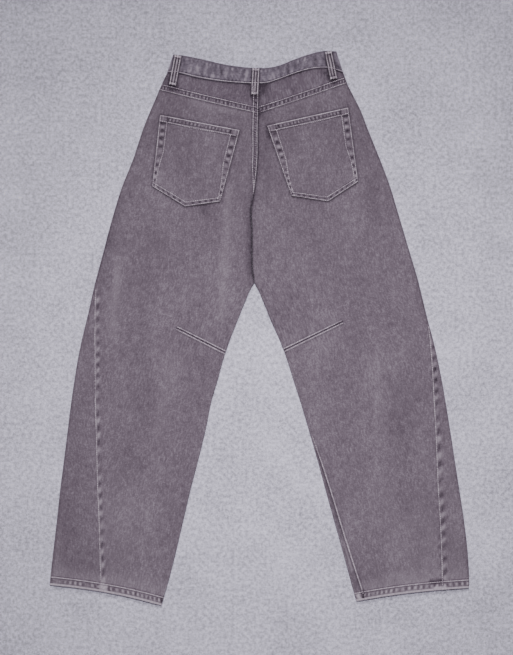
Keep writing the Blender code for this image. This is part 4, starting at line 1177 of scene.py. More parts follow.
@dataclass
class LegPiece:
    """A cloth piece of one leg: its rows, columns and seams."""

    leg: Leg
    finish: bpy.types.Material
    pitch: float = 2.5
    middle_columns: int = 52
    # Painted shade by the outline: its depth and reach.
    edge_shade_depth: float = 0.42
    edge_shade_reach: float = 3.2
    # Painted shadow round the pocket: its depth and reach.
    pocket_dark: float = 0.75
    pocket_reach: float = 3.0

    @property
    def side(self) -> str:
        """Return the side's word for names."""
        return self.leg.side.value

    def upper_places(self, rows: Rows) -> tuple[Array, Array, Array]:
        """Return where the columns of an upper piece stand, over the cloth and as x and y."""
        gap = self.leg.form.joint_gap / 2
        start = rows.seam + gap
        end = rows.over - rows.inseam - gap
        first = start + EDGE_STEPS[None, :]
        last = end - EDGE_STEPS[None, ::-1]
        share = np.linspace(0.0, 1.0, self.middle_columns + 2)[None, 1:-1]
        between = mix(first[:, -1:], last[:, :1], share)
        places = np.concatenate((first, between, last), axis=1)
        plain = rows.upper(places, Lay.OUTER, 0.0)
        return places, plain[..., 0], plain[..., 1]

    def upper_shell(
        self, name: str, rows: Rows, places: Array, height: Array, tone: Array
    ) -> Shell:
        """Return the shell of an upper piece.

        Args:
            name: The piece's name without its side.
            rows: The rows of its grid.
            places: Where its columns stand, over the cloth.
            height: What its outer face stands over the plain form.
            tone: How much lighter or darker its colour is, for wear, dye and painted light and
                shade.

        Returns:
            The shell, with its grain across and along the leg.
        """
        outer = rows.upper(places, Lay.OUTER, height)
        inner = rows.upper(places, Lay.INNER, 0.0)
        grain = np.stack(np.broadcast_arrays(places - rows.over / 2, rows.along), axis=-1)
        return Shell(name + self.side, outer, inner, grain, tone)

    def shades(self, x: Array, y: Array) -> Array:
        """Return the tone of the listed areas: painted shade and light, wash and wear, and the
        loops' painted shadow.
        """
        total = np.zeros_like(x)
        for area in SHADES:
            total = total + area.rise * bump(from_line(area, x, y), area.half_width)
        return total + loop_shade(x, y)

    def edge_shade(self, rows: Rows, x: Array, y: Array) -> Array:
        """Return painted shade by the outline, where the cloth turns under."""
        outer_x, outer_y = rows.point(np.zeros_like(rows.outer_y))
        inner_x, inner_y = rows.point(np.ones_like(rows.outer_y))
        outer = bump(np.hypot(x - outer_x, y - outer_y), self.edge_shade_reach)
        inner = bump(np.hypot(x - inner_x, y - inner_y), self.edge_shade_reach)
        return -self.edge_shade_depth * (outer + inner * (1.0 - rows.shut))

    def pocket_shade(self, x: Array, y: Array) -> Array:
        """Return the painted shadow on the panel all round its patch pocket."""
        pocket = POCKETS[0] if self.leg.side is Side.LEFT else POCKETS[1]
        corners = pocket[1:] + pocket[1:2]
        nearest = np.full_like(x, np.inf)
        for start, end in zip(corners, corners[1:]):
            nearest = np.minimum(nearest, from_line(Fold(*start, *end, 0.0, 0.0), x, y))
        return -self.pocket_dark * bump(nearest, self.pocket_reach)

    def upper_relief(self, rows: Rows, places: Array) -> Pair:
        """Return height and tone beside the long seams of an upper piece."""
        from_seam = np.maximum(places - rows.seam, 0.0)
        from_end = np.maximum(rows.over - rows.inseam - places, 0.0)
        along = rows.along
        on_top = rows.seam_on_top
        ridge = OUTSEAM_RIDGES[self.leg.side] if self.leg.ridge_on_back else LOW_SIDE
        height = on_top * ridge.relief(from_seam, along)
        tone = on_top * ridge.tone(from_seam, along)
        end_y = rows.point(np.ones_like(rows.outer_y))[1]
        # Painted shade and highlight along the valley where the closed legs meet.
        valley = rows.shut * smooth((end_y - VALLEY_END_Y) / VALLEY_RUN)
        tone = tone + valley * stripes(VALLEY_SHADE_AND_HIGHLIGHT[self.leg.side], from_end)
        if self.leg.side is Side.LEFT:
            narrow = middle_width(end_y)
            scaled = from_end / np.maximum(narrow, 0.1)
            height = height + narrow * MIDDLE_RIDGE.relief(scaled, along)
            tone = tone + smooth(narrow * 3.0) * MIDDLE_RIDGE.tone(scaled, along)
        if self.leg.side is Side.RIGHT:
            top = rows.inseam_on_top
            open_end = 1.0 - rows.shut
            height = height + open_end * stripes(FORK_GROOVE, from_end)
            height = height + top * stripes(INSEAM_GROOVE, from_end)
            # Painted shadow beside the centre seam where the left panel laps over.
            tone = tone + open_end * stripes(FORK_SHADOW, from_end)
            tone = tone + top * stripes(INSEAM_TONE, from_end)
        return height, tone


@dataclass
class BackPanel(LegPiece):
    """A back panel from the yoke seam to the hem, with its knee dart."""

    dart_tip: tuple[float, float] = field(kw_only=True)
    dart_end: tuple[float, float] = field(kw_only=True)

    def dart(self, x: Array, y: Array) -> Pair:
        """Return the height and tone of the knee dart at places."""
        span_x = self.dart_end[0] - self.dart_tip[0]
        span_y = self.dart_end[1] - self.dart_tip[1]
        length = math.hypot(span_x, span_y)
        along = ((x - self.dart_tip[0]) * span_x + (y - self.dart_tip[1]) * span_y) / length
        side = ((y - self.dart_tip[1]) * span_x - (x - self.dart_tip[0]) * span_y) / length
        side = side * np.sign(span_x)
        share = smooth(along / 8.0 + 0.5) * np.where(along < length + 6.0, 1.0, 0.0)
        wave = Ripple(9.0, 41, 0.6).at(along)
        relief = stripes(DART_WELT, side) + wave * stripes(DART_PUCKERS, side)
        # Painted shade along the crease, broken by the puckers.
        deep_and_painted_shade = (1.5 + 0.8 * wave) * stripes(DART_CREASE_SHADE, side)
        broken = 1.0 + 0.7 * Ripple(6.2, 43, 0.7).at(along + 1.2 * side)
        near = (0.35 + 0.4 * smooth(along / length)) * broken
        away = np.abs(side)
        # Wear on the welts, and painted shade just past them.
        worn = near * stripes(DART_WORN, away) + stripes(DART_BESIDE, away)
        tip = stripes(DART_TIP, np.hypot(along - 1.0, side))
        return share * relief, share * (deep_and_painted_shade + worn) + tip

    def build(self, shift: Vector) -> Made:
        """Make the panel."""
        rows = Rows.between(self.leg, ROWS[self.leg.side], self.pitch)
        places, x, y = self.upper_places(rows)
        height, tone = self.upper_relief(rows, places)
        from_hem = from_edge(x, y, LAST_ROW)
        from_yoke = from_edge(x, y, FIRST_ROW)
        height = np.maximum(height, 0.0) * smooth(from_hem / 20.0) + np.minimum(height, 0.0)
        height = height + HEM_RIDGE.relief(from_hem, places) + stripes(YOKE_GROOVE, from_yoke)
        # Painted shadow below the yoke seam.
        tone = with_hem(tone, from_hem, places, 1.0) + stripes(BELOW_YOKE_SHADOW, from_yoke)
        # Painted shade by the outline and round the pocket, with the listed painted and wash areas.
        tone = tone + self.shades(x, y) + self.edge_shade(rows, x, y) + self.pocket_shade(x, y)
        dart_height, dart_tone = self.dart(x, y)
        height = height + dart_height
        shell = self.upper_shell("back_panel_", rows, places, height, tone + dart_tone)
        return shell.build(shift, self.finish)


@dataclass
class YokePiece(LegPiece):
    """A back yoke between the waistband and the yoke seam."""

    def build(self, shift: Vector) -> Made:
        """Make the yoke."""
        rows = Rows.yoke(self.leg, FINE_PITCH)
        places, x, y = self.upper_places(rows)
        height, tone = self.upper_relief(rows, places)
        from_seam = from_edge(x, y, LAST_ROW)
        from_band = from_edge(x, y, FIRST_ROW)
        height = np.maximum(height, YOKE_RIDGE.relief(from_seam, places))
        tone = tone * smooth(from_seam / 12.0) + YOKE_RIDGE.tone(from_seam, places)
        # Painted shadow just below the waistband.
        tone = tone + stripes(BELOW_BAND_SHADOW, from_band)
        # Painted shade by the outline, with the listed painted and wash areas.
        tone = tone + self.shades(x, y) + self.edge_shade(rows, x, y)
        shell = self.upper_shell("back_yoke_", rows, places, height, tone)
        return shell.build(shift, self.finish)


@dataclass
class FrontPanel(LegPiece):
    """A front panel, from the side seam round the folds and under the leg."""

    strip_columns: int = 18
    fold_columns: int = 9
    floor_columns: int = 12
    inner_columns: int = 9

    def rows(self) -> Rows:
        """Return rows from the waistband to the hem."""
        top = Rows.yoke(self.leg, self.pitch)
        rest = Rows.between(self.leg, ROWS[self.leg.side], self.pitch)
        names = ("outer_y", "inner_y", "bow", "bend", "band_share")
        joined = [
            np.concatenate((getattr(top, name)[:-1], getattr(rest, name))) for name in names
        ]
        return Rows(self.leg, *joined)

    def build(self, shift: Vector) -> Made:
        """Make the panel."""
        form = self.leg.form
        rows = self.rows()
        gap = form.joint_gap / 2
        seam = rows.seam - gap
        inseam = rows.inseam - gap
        fold_top = np.minimum(seam, form.quarter)
        beside = np.maximum(seam - EDGE_STEPS[None, :], fold_top)
        share = np.linspace(0.0, 1.0, self.strip_columns)[None, 1:]
        strip = np.concatenate((beside, mix(beside[:, -1:], fold_top, share)), axis=1)
        turn = np.linspace(1.0, -1.0, self.fold_columns)[None, :]
        turned = np.minimum(turn * form.quarter, seam)
        floor = np.linspace(0.0, 1.0, self.floor_columns + 2)[None, 1:-1]
        back = np.minimum(-turn * form.quarter, inseam)
        fold_end = np.minimum(inseam, form.quarter)
        inner_share = np.linspace(0.0, 1.0, self.inner_columns)[None, 1:]
        inner_strip = mix(fold_end, inseam, inner_share)
        from_seam = seam - strip
        along = rows.along
        ridge = LOW_SIDE if self.leg.ridge_on_back else OUTSEAM_RIDGES[self.leg.side]
        height = rows.seam_on_top * ridge.relief(from_seam, along)
        tone = rows.seam_on_top * ridge.tone(from_seam, along)
        faces = []
        for lay in (Lay.OUTER, Lay.INNER):
            raised = height if lay is Lay.OUTER else 0.0
            upper_turn = rows.upper(np.maximum(turned, 0.0), lay, 0.0)
            lower_turn = rows.under(np.maximum(-turned, 0.0), lay)
            change = -form.wall if lay is Lay.INNER else 0.0
            rise = rows.inner_end(np.maximum(back, 0.0), lay, change, 1.0)
            fall = rows.inner_end(np.maximum(-back, 0.0), lay, change, -1.0)
            faces.append(
                np.concatenate(
                    (
                        rows.upper(np.maximum(strip, 0.0), lay, raised),
                        np.where((turned >= 0.0)[..., None], upper_turn, lower_turn),
                        rows.floor(floor, lay),
                        np.where((back >= 0.0)[..., None], rise, fall),
                        rows.upper(rows.over - inner_strip, lay, 0.0),
                    ),
                    axis=1,
                )
            )
        outer, inner = faces
        x, y = outer[..., 0], outer[..., 1]
        from_hem = from_edge(x, y, LAST_ROW)
        steps = np.linalg.norm(np.diff(outer, axis=1, prepend=outer[:, :1]), axis=2)
        walk = np.cumsum(steps, axis=1)
        floor_first = strip.shape[1] + self.fold_columns
        on_top = np.ones(outer.shape[1])
        on_top[floor_first - 2 : floor_first + self.floor_columns + 2] = 0.0
        whole_tone = np.zeros(outer.shape[:2])
        whole_tone[:, : strip.shape[1]] += tone
        outer[..., 2] += on_top * HEM_RIDGE.relief(from_hem, walk)
        whole_tone = with_hem(whole_tone, from_hem, walk, on_top)
        # Painted shade by the outline, with the listed painted and wash areas.
        whole_tone = whole_tone + on_top * (self.shades(x, y) + self.edge_shade(rows, x, y))
        if self.leg.side is Side.RIGHT:
            # Painted shadow beside the inseam, and the inner strip a little darker.
            deep_and_painted_shade = stripes(INSEAM_SHADOW, inseam - inner_strip) - INSEAM_STRIP_DARK
            whole_tone[:, -inner_strip.shape[1] :] += rows.inseam_on_top * deep_and_painted_shade
        grain = np.stack(np.broadcast_arrays(walk - walk[:, -1:] / 2, along), axis=-1)
        shell = Shell("front_panel_" + self.side, outer, inner, grain, whole_tone)
        return shell.build(shift, self.finish)


@dataclass
class Waistband:
    """The waistband, one flat ring whose ends lap at the hidden front."""

    form: GarmentForm
    finish: bpy.types.Material
    lap: float = 44.0
    lap_step: float = 22.0
    lap_gap: float = 0.3
    pitch: float = 1.6
    edge_drop: float = 0.45
    low_rope: SeamRidge = SeamRidge(
        6.0, 0.12, 0.2, Ripple(9.5, 31, 0.6), 5.5, 3.2, slant=0.2, dark=0.4, light=0.2,
        edge_light=0.25, groove=0.0, rows=(1.8,), row_light=0.95, row_dark=0.7,
    )
    top_rope: SeamRidge = SeamRidge(
        6.0, 0.12, 0.2, Ripple(9.5, 33, 0.6), 5.5, 3.2, slant=0.2, dark=0.4, light=0.3,
        edge_light=-0.7, groove=0.0,
    )

    def __post_init__(self) -> None:
        """Make the curves of the band's edges."""
        top = np.array([(b.top_x, b.top_y) for b in BAND])
        steps = np.hypot(*np.diff(top, axis=0).T)
        along = np.concatenate(([0.0], np.cumsum(steps)))
        self.length = float(along[-1])
        self.stations = along
        self.top_x = Curve(along, top[:, 0])
        self.top_y = Curve(along, top[:, 1])
        self.low_x = Curve(along, [b.low_x for b in BAND])

    def place(self, along: Array, level: Array) -> Pair:
        """Return x and y at distances from the left end and levels up the band."""
        low_x = self.low_x.at(along)
        low_y = self.form.low_edge.at(low_x)
        return mix(low_x, self.top_x.at(along), level), mix(low_y, self.top_y.at(along), level)

    def plain_z(self, along: Array) -> Array:
        """Return the plain height of the band's upper face."""
        form = self.form
        from_end = np.minimum(along, self.length - along) - form.band_fold_radius
        edge = 2 * form.band_fold_radius
        rise = smooth(from_end / form.band_ramp)
        return form.button_lift + mix(edge, form.band_height, rise)

    def along_at(self, x: float, y: float) -> float:
        """Return the distance from the left end at which a place lies."""
        level = float(np.clip((y - self.form.low_edge.at(x)) / self.form.band_depth, 0.0, 1.0))
        across = [mix(b.low_x, b.top_x, level) for b in BAND]
        return float(np.interp(x, across, self.stations))

    def build(self, shift: Vector) -> Made:
        """Make the waistband."""
        form = self.form
        radius = form.band_fold_radius
        middle = self.length / 2
        half = int(middle / self.pitch / 2)
        run = int(self.length / self.pitch)
        lap_start = middle + self.lap / 2
        lap_end = middle - self.lap / 2
        under_left = np.linspace(lap_start, radius, half)
        over = np.linspace(radius, self.length - radius, run)
        under_right = np.linspace(self.length - radius, lap_end, half)
        turn = np.linspace(-math.pi / 2, math.pi / 2, 11)[1:-1]
        climb = smooth((lap_start + self.lap_step - under_right) / self.lap_step)
        along = np.concatenate(
            (
                under_left,
                radius - radius * np.cos(turn),
                over,
                self.length - radius + radius * np.cos(turn),
                under_right,
            )
        )
        angle = np.concatenate(
            (
                np.full_like(under_left, -math.pi / 2),
                turn,
                np.full_like(over, math.pi / 2),
                -turn,
                np.full_like(under_right, -math.pi / 2),
            )
        )
        extra = np.zeros_like(along)
        over_slice = slice(len(under_left) + len(turn), len(under_left) + len(turn) + len(over))
        extra[over_slice] = self.plain_z(over) - form.button_lift - 2 * radius
        extra[-len(under_right) :] = climb * (form.band_wall + self.lap_gap)
        level = np.concatenate(
            (np.linspace(0, 0.14, 9), np.linspace(0.18, 0.85, 16), np.linspace(0.88, 1.0, 8))
        )[None, :]
        walk = np.concatenate(([0.0], np.cumsum(np.abs(np.diff(along)) + 0.2)))[:, None]
        facing = np.sin(angle)[:, None]
        inner_radius = radius - form.band_wall
        back = inner_radius * np.cos(angle)
        turned = np.where(along < middle, radius - back, self.length - radius + back)
        inner_along = np.where(np.abs(np.sin(angle)) < 1.0, turned, along)
        low = level * form.band_depth
        high = (1.0 - level) * form.band_depth
        drop = self.edge_drop * (bump(low, 0.9) + bump(high, 0.9))
        on_back = np.zeros_like(along)
        on_back[over_slice] = 1.0
        on_back = on_back[:, None]
        rope = self.low_rope.relief(low, walk) + self.top_rope.relief(high, walk)
        unevenness = 0.12 * Unevenness(14.0, 1.0, 77).at(walk, low * 0.5)
        height = on_back * (rope + unevenness) - drop
        tone = self.low_rope.tone(low, walk) + self.top_rope.tone(high, walk)
        mottle = Unevenness(12.0, 1.0, 78).at(walk, low * 0.5)
        mottle = mottle + 0.6 * Unevenness(9.0, 1.0, 79).at(walk, low * 1.4)
        inside = smooth((np.minimum(low, high) - 3.5) / 2.0)
        x, y = self.place(along[:, None], level)
        # The loops' painted shadow on the band.
        tone = tone + 0.24 * mottle * inside - 0.03 + on_back * loop_shade(x, y)
        centre_z = form.button_lift + radius + extra[:, None]
        outer = np.stack((x, y, centre_z + (radius + height) * facing), axis=-1)
        inner_x, inner_y = self.place(inner_along[:, None], level)
        inner_z = np.broadcast_to(centre_z + inner_radius * facing, x.shape)
        inner = np.stack((inner_x, inner_y, inner_z), axis=-1)
        grain = np.stack(np.broadcast_arrays(low, walk), axis=-1)
        shell = Shell("waistband_ring", outer, inner, grain, np.broadcast_to(tone, x.shape))
        return shell.build(shift, self.finish)


class Pocket(NamedTuple):
    """The corners of a patch pocket, with the point of its lower edge."""

    side: Side
    top_outer: tuple[float, float]
    top_inner: tuple[float, float]
    low_inner: tuple[float, float]
    tip: tuple[float, float]
    low_outer: tuple[float, float]


class Loop(NamedTuple):
    """A belt loop's name, its two ends and whether it is on the front."""

    name: str
    top_x: float
    top_y: float
    low_x: float
    low_y: float
    front: bool = False


POCKETS = (
    Pocket(
        Side.LEFT, (-183.5, 393.0), (-36.5, 365.0), (-72.5, 233.5), (-137.5, 224.0), (-198.0, 261.5)
    ),
    Pocket(
        Side.RIGHT, (163.5, 406.5), (14.0, 373.0), (59.0, 244.0), (126.5, 233.5), (182.0, 270.0)
    ),
)

LOOPS = (
    Loop("back_left", -150.0, 503.0, -160.5, 447.5),
    Loop("back_middle", -6.5, 479.0, -9.0, 430.0),
    Loop("back_right", 126.5, 510.0, 137.0, 458.5),
    Loop("front_left", -84.0, 490.0, -86.0, 440.0, True),
    Loop("front_right", 80.0, 500.5, 84.0, 450.5, True),
)


@dataclass
class PatchPocket:
    """A back patch pocket, turned under and sewn round its sides."""

    leg: Leg
    corners: Pocket
    finish: bpy.types.Material
    wall: float = 1.3
    rest_gap: float = 0.4
    pitch: float = 3.0
    side_band: SeamRidge = SeamRidge(
        15.0, 0.42, 0.36, Ripple(13.0, 51, 0.6), 7.6, 4.0, slant=0.1, dark=1.15, light=0.55,
        edge_light=0.9, groove=0.5, rows=(14.2,), row_light=0.25, row_dark=0.4,
    )
    top_band: SeamRidge = SeamRidge(
        12.0, 0.42, 0.2, Ripple(7.2, 52, 0.6), 5.6, 2.6, dark=1.6, light=0.6, edge_light=1.1,
        groove=0.5, rows=(10.6,), row_light=0.6, row_dark=1.0,
    )
    low_band: SeamRidge = SeamRidge(
        8.5, 0.42, 0.16, Ripple(11.0, 53, 0.6), 4.4, 1.6, dark=1.3, light=0.3, edge_light=0.9,
        groove=0.5, rows=(7.4,), row_light=0.4, row_dark=0.8,
    )
    narrowing: float = 0.5

    def low_edge(self, share: Array) -> Pair:
        """Return x and y of the lower edge at shares of the way to the inner side."""
        corners = self.corners
        tip = abs(corners.tip[0] - corners.low_outer[0])
        tip = tip / abs(corners.low_inner[0] - corners.low_outer[0])
        places = (0.0, tip, 1.0)
        line = (corners.low_outer, corners.tip, corners.low_inner)
        x = np.interp(share, places, [point[0] for point in line])
        y = np.interp(share, places, [point[1] for point in line])
        return x, y

    def spaced(self, size: float) -> Array:
        """Return distances over a size, close together near its two ends."""
        fine = np.arange(4.0, 17.5, FINE_PITCH)
        ends = np.concatenate(((0.0, 0.35, 0.8, 1.3, 1.9, 2.6, 3.3), fine))
        inside = np.linspace(18.5, size - 18.5, int(size / self.pitch))
        return np.concatenate((ends, inside, size - ends[::-1]))

    def widening(self, level: Array) -> Array:
        """Return how much narrower the side bands are at levels down the pocket."""
        return 1.0 + 2.0 * self.narrowing * smooth((level - 0.45) / 0.45)

    def place(self, share: Array, level: Array) -> Pair:
        """Return x and y at shares across and levels down the pocket."""
        corners = self.corners
        low_x, low_y = self.low_edge(share)
        top_x = mix(corners.top_outer[0], corners.top_inner[0], share)
        top_y = mix(corners.top_outer[1], corners.top_inner[1], share)
        return mix(top_x, low_x, level), mix(top_y, low_y, level)

    def build(self, shift: Vector) -> Made:
        """Make the pocket."""
        corners = self.corners
        width = math.dist(corners.top_outer, corners.top_inner)
        depth = math.dist(corners.top_outer, corners.low_outer)
        across = self.spaced(width)[None, :] / width
        down = self.spaced(depth)[:, None] / depth
        x, y = self.place(across, down)
        from_outer = from_edge(x, y, FIRST_COLUMN)
        from_inner = from_edge(x, y, LAST_COLUMN)
        from_top = from_edge(x, y, FIRST_ROW)
        from_low = from_edge(x, y, LAST_ROW)
        wide = self.widening(down)
        below_hem = smooth((from_top - 12.5) / 2.0)
        above_low = smooth((from_low - 8.0) / 2.0)
        between = smooth((np.minimum(from_outer, from_inner) - 13.5) / 2.0)
        bands = (
            (self.side_band, from_outer * wide, from_top, below_hem * above_low),
            (self.side_band, from_inner * wide, from_top + 57.0, below_hem * above_low),
            (self.top_band, from_top, from_outer, between),
            (self.low_band, from_low, from_outer, 1.0),
        )
        height = np.zeros_like(x)
        tone = np.zeros_like(x)
        for band, away, along, share in bands:
            height = np.maximum(height, band.relief(away, along))
            tone = tone + band.tone(away, along) * share
        from_side = np.minimum(from_outer, from_inner)
        corner = np.hypot(x - corners.low_outer[0], y - corners.low_outer[1])
        by_side = 1.0 - smooth((from_side - 9.0) / 3.0)
        tone = tone + by_side * stripes(POCKET_WORN_CORNER, corner)
        block = (1.0 - between) * (1.0 - below_hem)
        block_tone = stripes(POCKET_BLOCK_EDGE, from_side) + stripes(POCKET_BLOCK_EDGE, from_top)
        block_tone = block_tone + stripes(POCKET_BLOCK_ROW, from_side) - 0.05
        # Painted shade at the allowance's inner edges in the top corners.
        below = stripes(POCKET_BELOW_BLOCK_SHADE, from_top) * (1.0 - smooth((from_side - 12.5) / 2.0))
        beside = stripes(POCKET_BESIDE_BLOCK_SHADE, from_side) * (1.0 - smooth((from_top - 10.5) / 2.0))
        tone = tone + block * block_tone + below + beside
        nearest = np.minimum(np.minimum(from_outer, from_inner), np.minimum(from_top, from_low))
        height = height + stripes(POCKET_GROOVE, nearest)
        height = height + 0.12 * Unevenness(34.0, 1.0, 61).at(x, y)
        under = self.leg.top_z(x, y) + self.rest_gap
        outer = np.stack((x, y, under + self.wall + height), axis=-1)
        inner = np.stack((x, y, under), axis=-1)
        grain = np.stack((from_outer, from_top), axis=-1)
        shell = Shell("patch_pocket_" + corners.side.value, outer, inner, grain, tone)
        return shell.build(shift, self.finish)


@dataclass
class BeltLoop:
    """A belt loop, a folded strip laid over the waistband."""

    form: GarmentForm
    band: Waistband
    legs: dict[Side, Leg]
    line: Loop
    finish: bpy.types.Material
    width: float = LOOP_WIDTH
    wall: float = 1.2
    rest_gap: float = 0.4
    crown: float = 0.3
    seam_raise: float = 0.45
    reach: float = 5.0

    def cloth_top(self, x: float, y: float) -> float:
        """Return the height of the cloth that the loop lies on."""
        if y > float(self.form.low_edge.at(x)) - self.reach:
            return float(self.band.plain_z(np.array(self.band.along_at(x, y))))
        side = Side.LEFT if x < float(self.form.middle.at(y)) else Side.RIGHT
        return float(self.legs[side].top_z(np.array(x), np.array(y))) + self.seam_raise

    def build(self, shift: Vector) -> Made:
        """Make the loop."""
        line = self.line
        length = math.hypot(line.low_x - line.top_x, line.low_y - line.top_y)
        way_x = (line.low_x - line.top_x) / length
        way_y = (line.low_y - line.top_y) / length
        along = np.linspace(0.0, length, 48)[:, None]
        edge = self.width / 2 - np.array((0.0, 0.2, 0.6, 1.2))
        across = np.concatenate((-edge, np.linspace(-4.7, 4.7, 13), edge[::-1]))[None, :]
        x = line.top_x + along * way_x - across * way_y
        y = line.top_y + along * way_y + across * way_x
        from_side = self.width / 2 - np.abs(across)
        from_end = np.minimum(along, length - along)
        fold = stripes(LOOP_EDGE_RELIEF, from_side)
        tacks = stripes(LOOP_END_RELIEF, from_end)
        rough = 0.08 * Unevenness(7.0, 1.0, 91).at(x, y)
        raised = self.crown * smooth(from_side / 1.6) + fold + tacks + rough
        # Wear on the folded edges, with painted shade at the very edge.
        tone = stripes(LOOP_EDGE_TONE, from_side) + stripes(LOOP_MIDDLE_TONE, across)
        tone = tone + stripes(LOOP_ROW_TONE, np.abs(across))
        tone = tone + 0.16 * Unevenness(9.0, 1.0, 92).at(x, y)
        tone = tone + stripes(LOOP_END_TONE, from_end)
        if line.front:
            low = np.full_like(x, self.form.button_lift - 0.3)
            outer_z = low - self.wall - np.maximum(raised * 0.5, -0.2)
        else:
            rest = [
                max(self.cloth_top(float(x[row, col]), float(y[row, col])) for col in (0, 10, -1))
                for row in range(len(along))
            ]
            low = np.broadcast_to(np.array(rest)[:, None] + self.rest_gap, x.shape)
            outer_z = low + self.wall + raised
        outer = np.stack((x, y, outer_z), axis=-1)
        inner = np.stack((x, y, low), axis=-1)
        grain = np.stack(np.broadcast_arrays(across, along), axis=-1)
        shell = Shell("belt_loop_" + line.name, outer, inner, grain, tone)
        return shell.build(shift, self.finish)


@dataclass
class FlyShield:
    """The plain strip of cloth inside the front, behind the centre seam."""

    leg: Leg
    finish: bpy.types.Material
    width: float = 36.0
    top_y: float = 446.0
    end_y: float = 300.0
    wall: float = 1.0
    gap: float = 0.3

    def build(self, shift: Vector) -> Made:
        """Make the shield."""
        form = self.leg.form
        y = np.linspace(self.top_y, self.end_y, 60)[:, None]
        across = np.linspace(0.0, self.width, 16)[None, :]
        x, y, across = np.broadcast_arrays(self.leg.inner_x(y) + across, y, across)
        low = form.lift(y) + form.wall + self.gap
        outer = np.stack((x, y, low + self.wall), axis=-1)
        inner = np.stack((x, y, low), axis=-1)
        grain = np.stack((across, self.top_y - y), axis=-1)
        shell = Shell("fly_shield_strip", outer, inner, grain, np.zeros_like(x))
        return shell.build(shift, self.finish)


@dataclass
class WaistButton:
    """The waist button, whose rimmed face looks to the floor."""

    centre: Vector
    finish: bpy.types.Material
    radius: float = 8.5
    height: float = 2.3
    rim: float = 1.5
    dish: float = 0.5
    slope: float = 0.4
    boss_from_rim: float = 4.2
    boss_height: float = 0.3
    bevel: float = 0.35

    def build(self) -> bpy.types.Object:
        """Make the button."""
        bpy.ops.object.select_all(action="DESELECT")
        bpy.ops.mesh.primitive_cylinder_add(
            vertices=64,
            radius=self.radius * METRES,
            depth=self.height * METRES,
            location=(self.centre.x, self.centre.y, self.height * METRES / 2),
        )
        button = bpy.context.object
        button.name = "waist_button_disc"
        button.data.name = button.name
        bpy.ops.object.transform_apply(location=True)
        bpy.ops.object.mode_set(mode="EDIT")
        bpy.ops.mesh.select_mode(type="FACE")
        bpy.ops.mesh.select_all(action="DESELECT")
        bpy.ops.object.mode_set(mode="OBJECT")
        for face in button.data.polygons:
            face.select = face.normal.z < -0.9
        bpy.ops.object.mode_set(mode="EDIT")
        for inward, raised in (
            (self.rim, 0.0),
            (self.slope, -self.dish),
            (self.boss_from_rim, 0.0),
            (self.slope, self.boss_height),
        ):
            bpy.ops.mesh.inset(thickness=inward * METRES, depth=raised * METRES)
        bpy.ops.mesh.select_all(action="SELECT")
        bpy.ops.object.mode_set(mode="OBJECT")
        edge = button.modifiers.new("soft edges", "BEVEL")
        edge.width = self.bevel * METRES
        edge.segments = 3
        edge.limit_method = "ANGLE"
        bpy.ops.object.modifier_apply(modifier=edge.name)
        bpy.ops.object.shade_smooth_by_angle(angle=math.radians(35))
        button.data.materials.clear()
        button.data.materials.append(self.finish)
        return button


DARTS = {
    Side.LEFT: ((-153.0, 0.0), (-62.5, -45.5)),
    Side.RIGHT: ((153.0, 11.5), (49.0, -39.0)),
}
BODY_COLOUR = (0.173, 0.133, 0.174)
DENIM_COLOURS = {
    "back": BODY_COLOUR,
    "front": BODY_COLOUR,
    "yoke": (0.16, 0.121, 0.163),
    "waistband": (0.201, 0.164, 0.22),
    "pocket": BODY_COLOUR,
    "loop": (0.2, 0.158, 0.2),
}
PICTURE_MIDDLE = (-5.55, 0.9, 0.0)
Maker = Union[LegPiece, Waistband, PatchPocket, BeltLoop, FlyShield]


def shifted(line: Array, away: float) -> Array:
    """Return a line moved sideways, to the left of its direction.

    Args:
        line: Points of x and y, one a row.
        away: How far the line moves, in millimetres.

    Returns:
        The moved line.
    """
    way = np.gradient(line, axis=0)
    way = way / np.linalg.norm(way, axis=1, keepdims=True)
    return line + away * np.stack((-way[:, 1], way[:, 0]), axis=1)


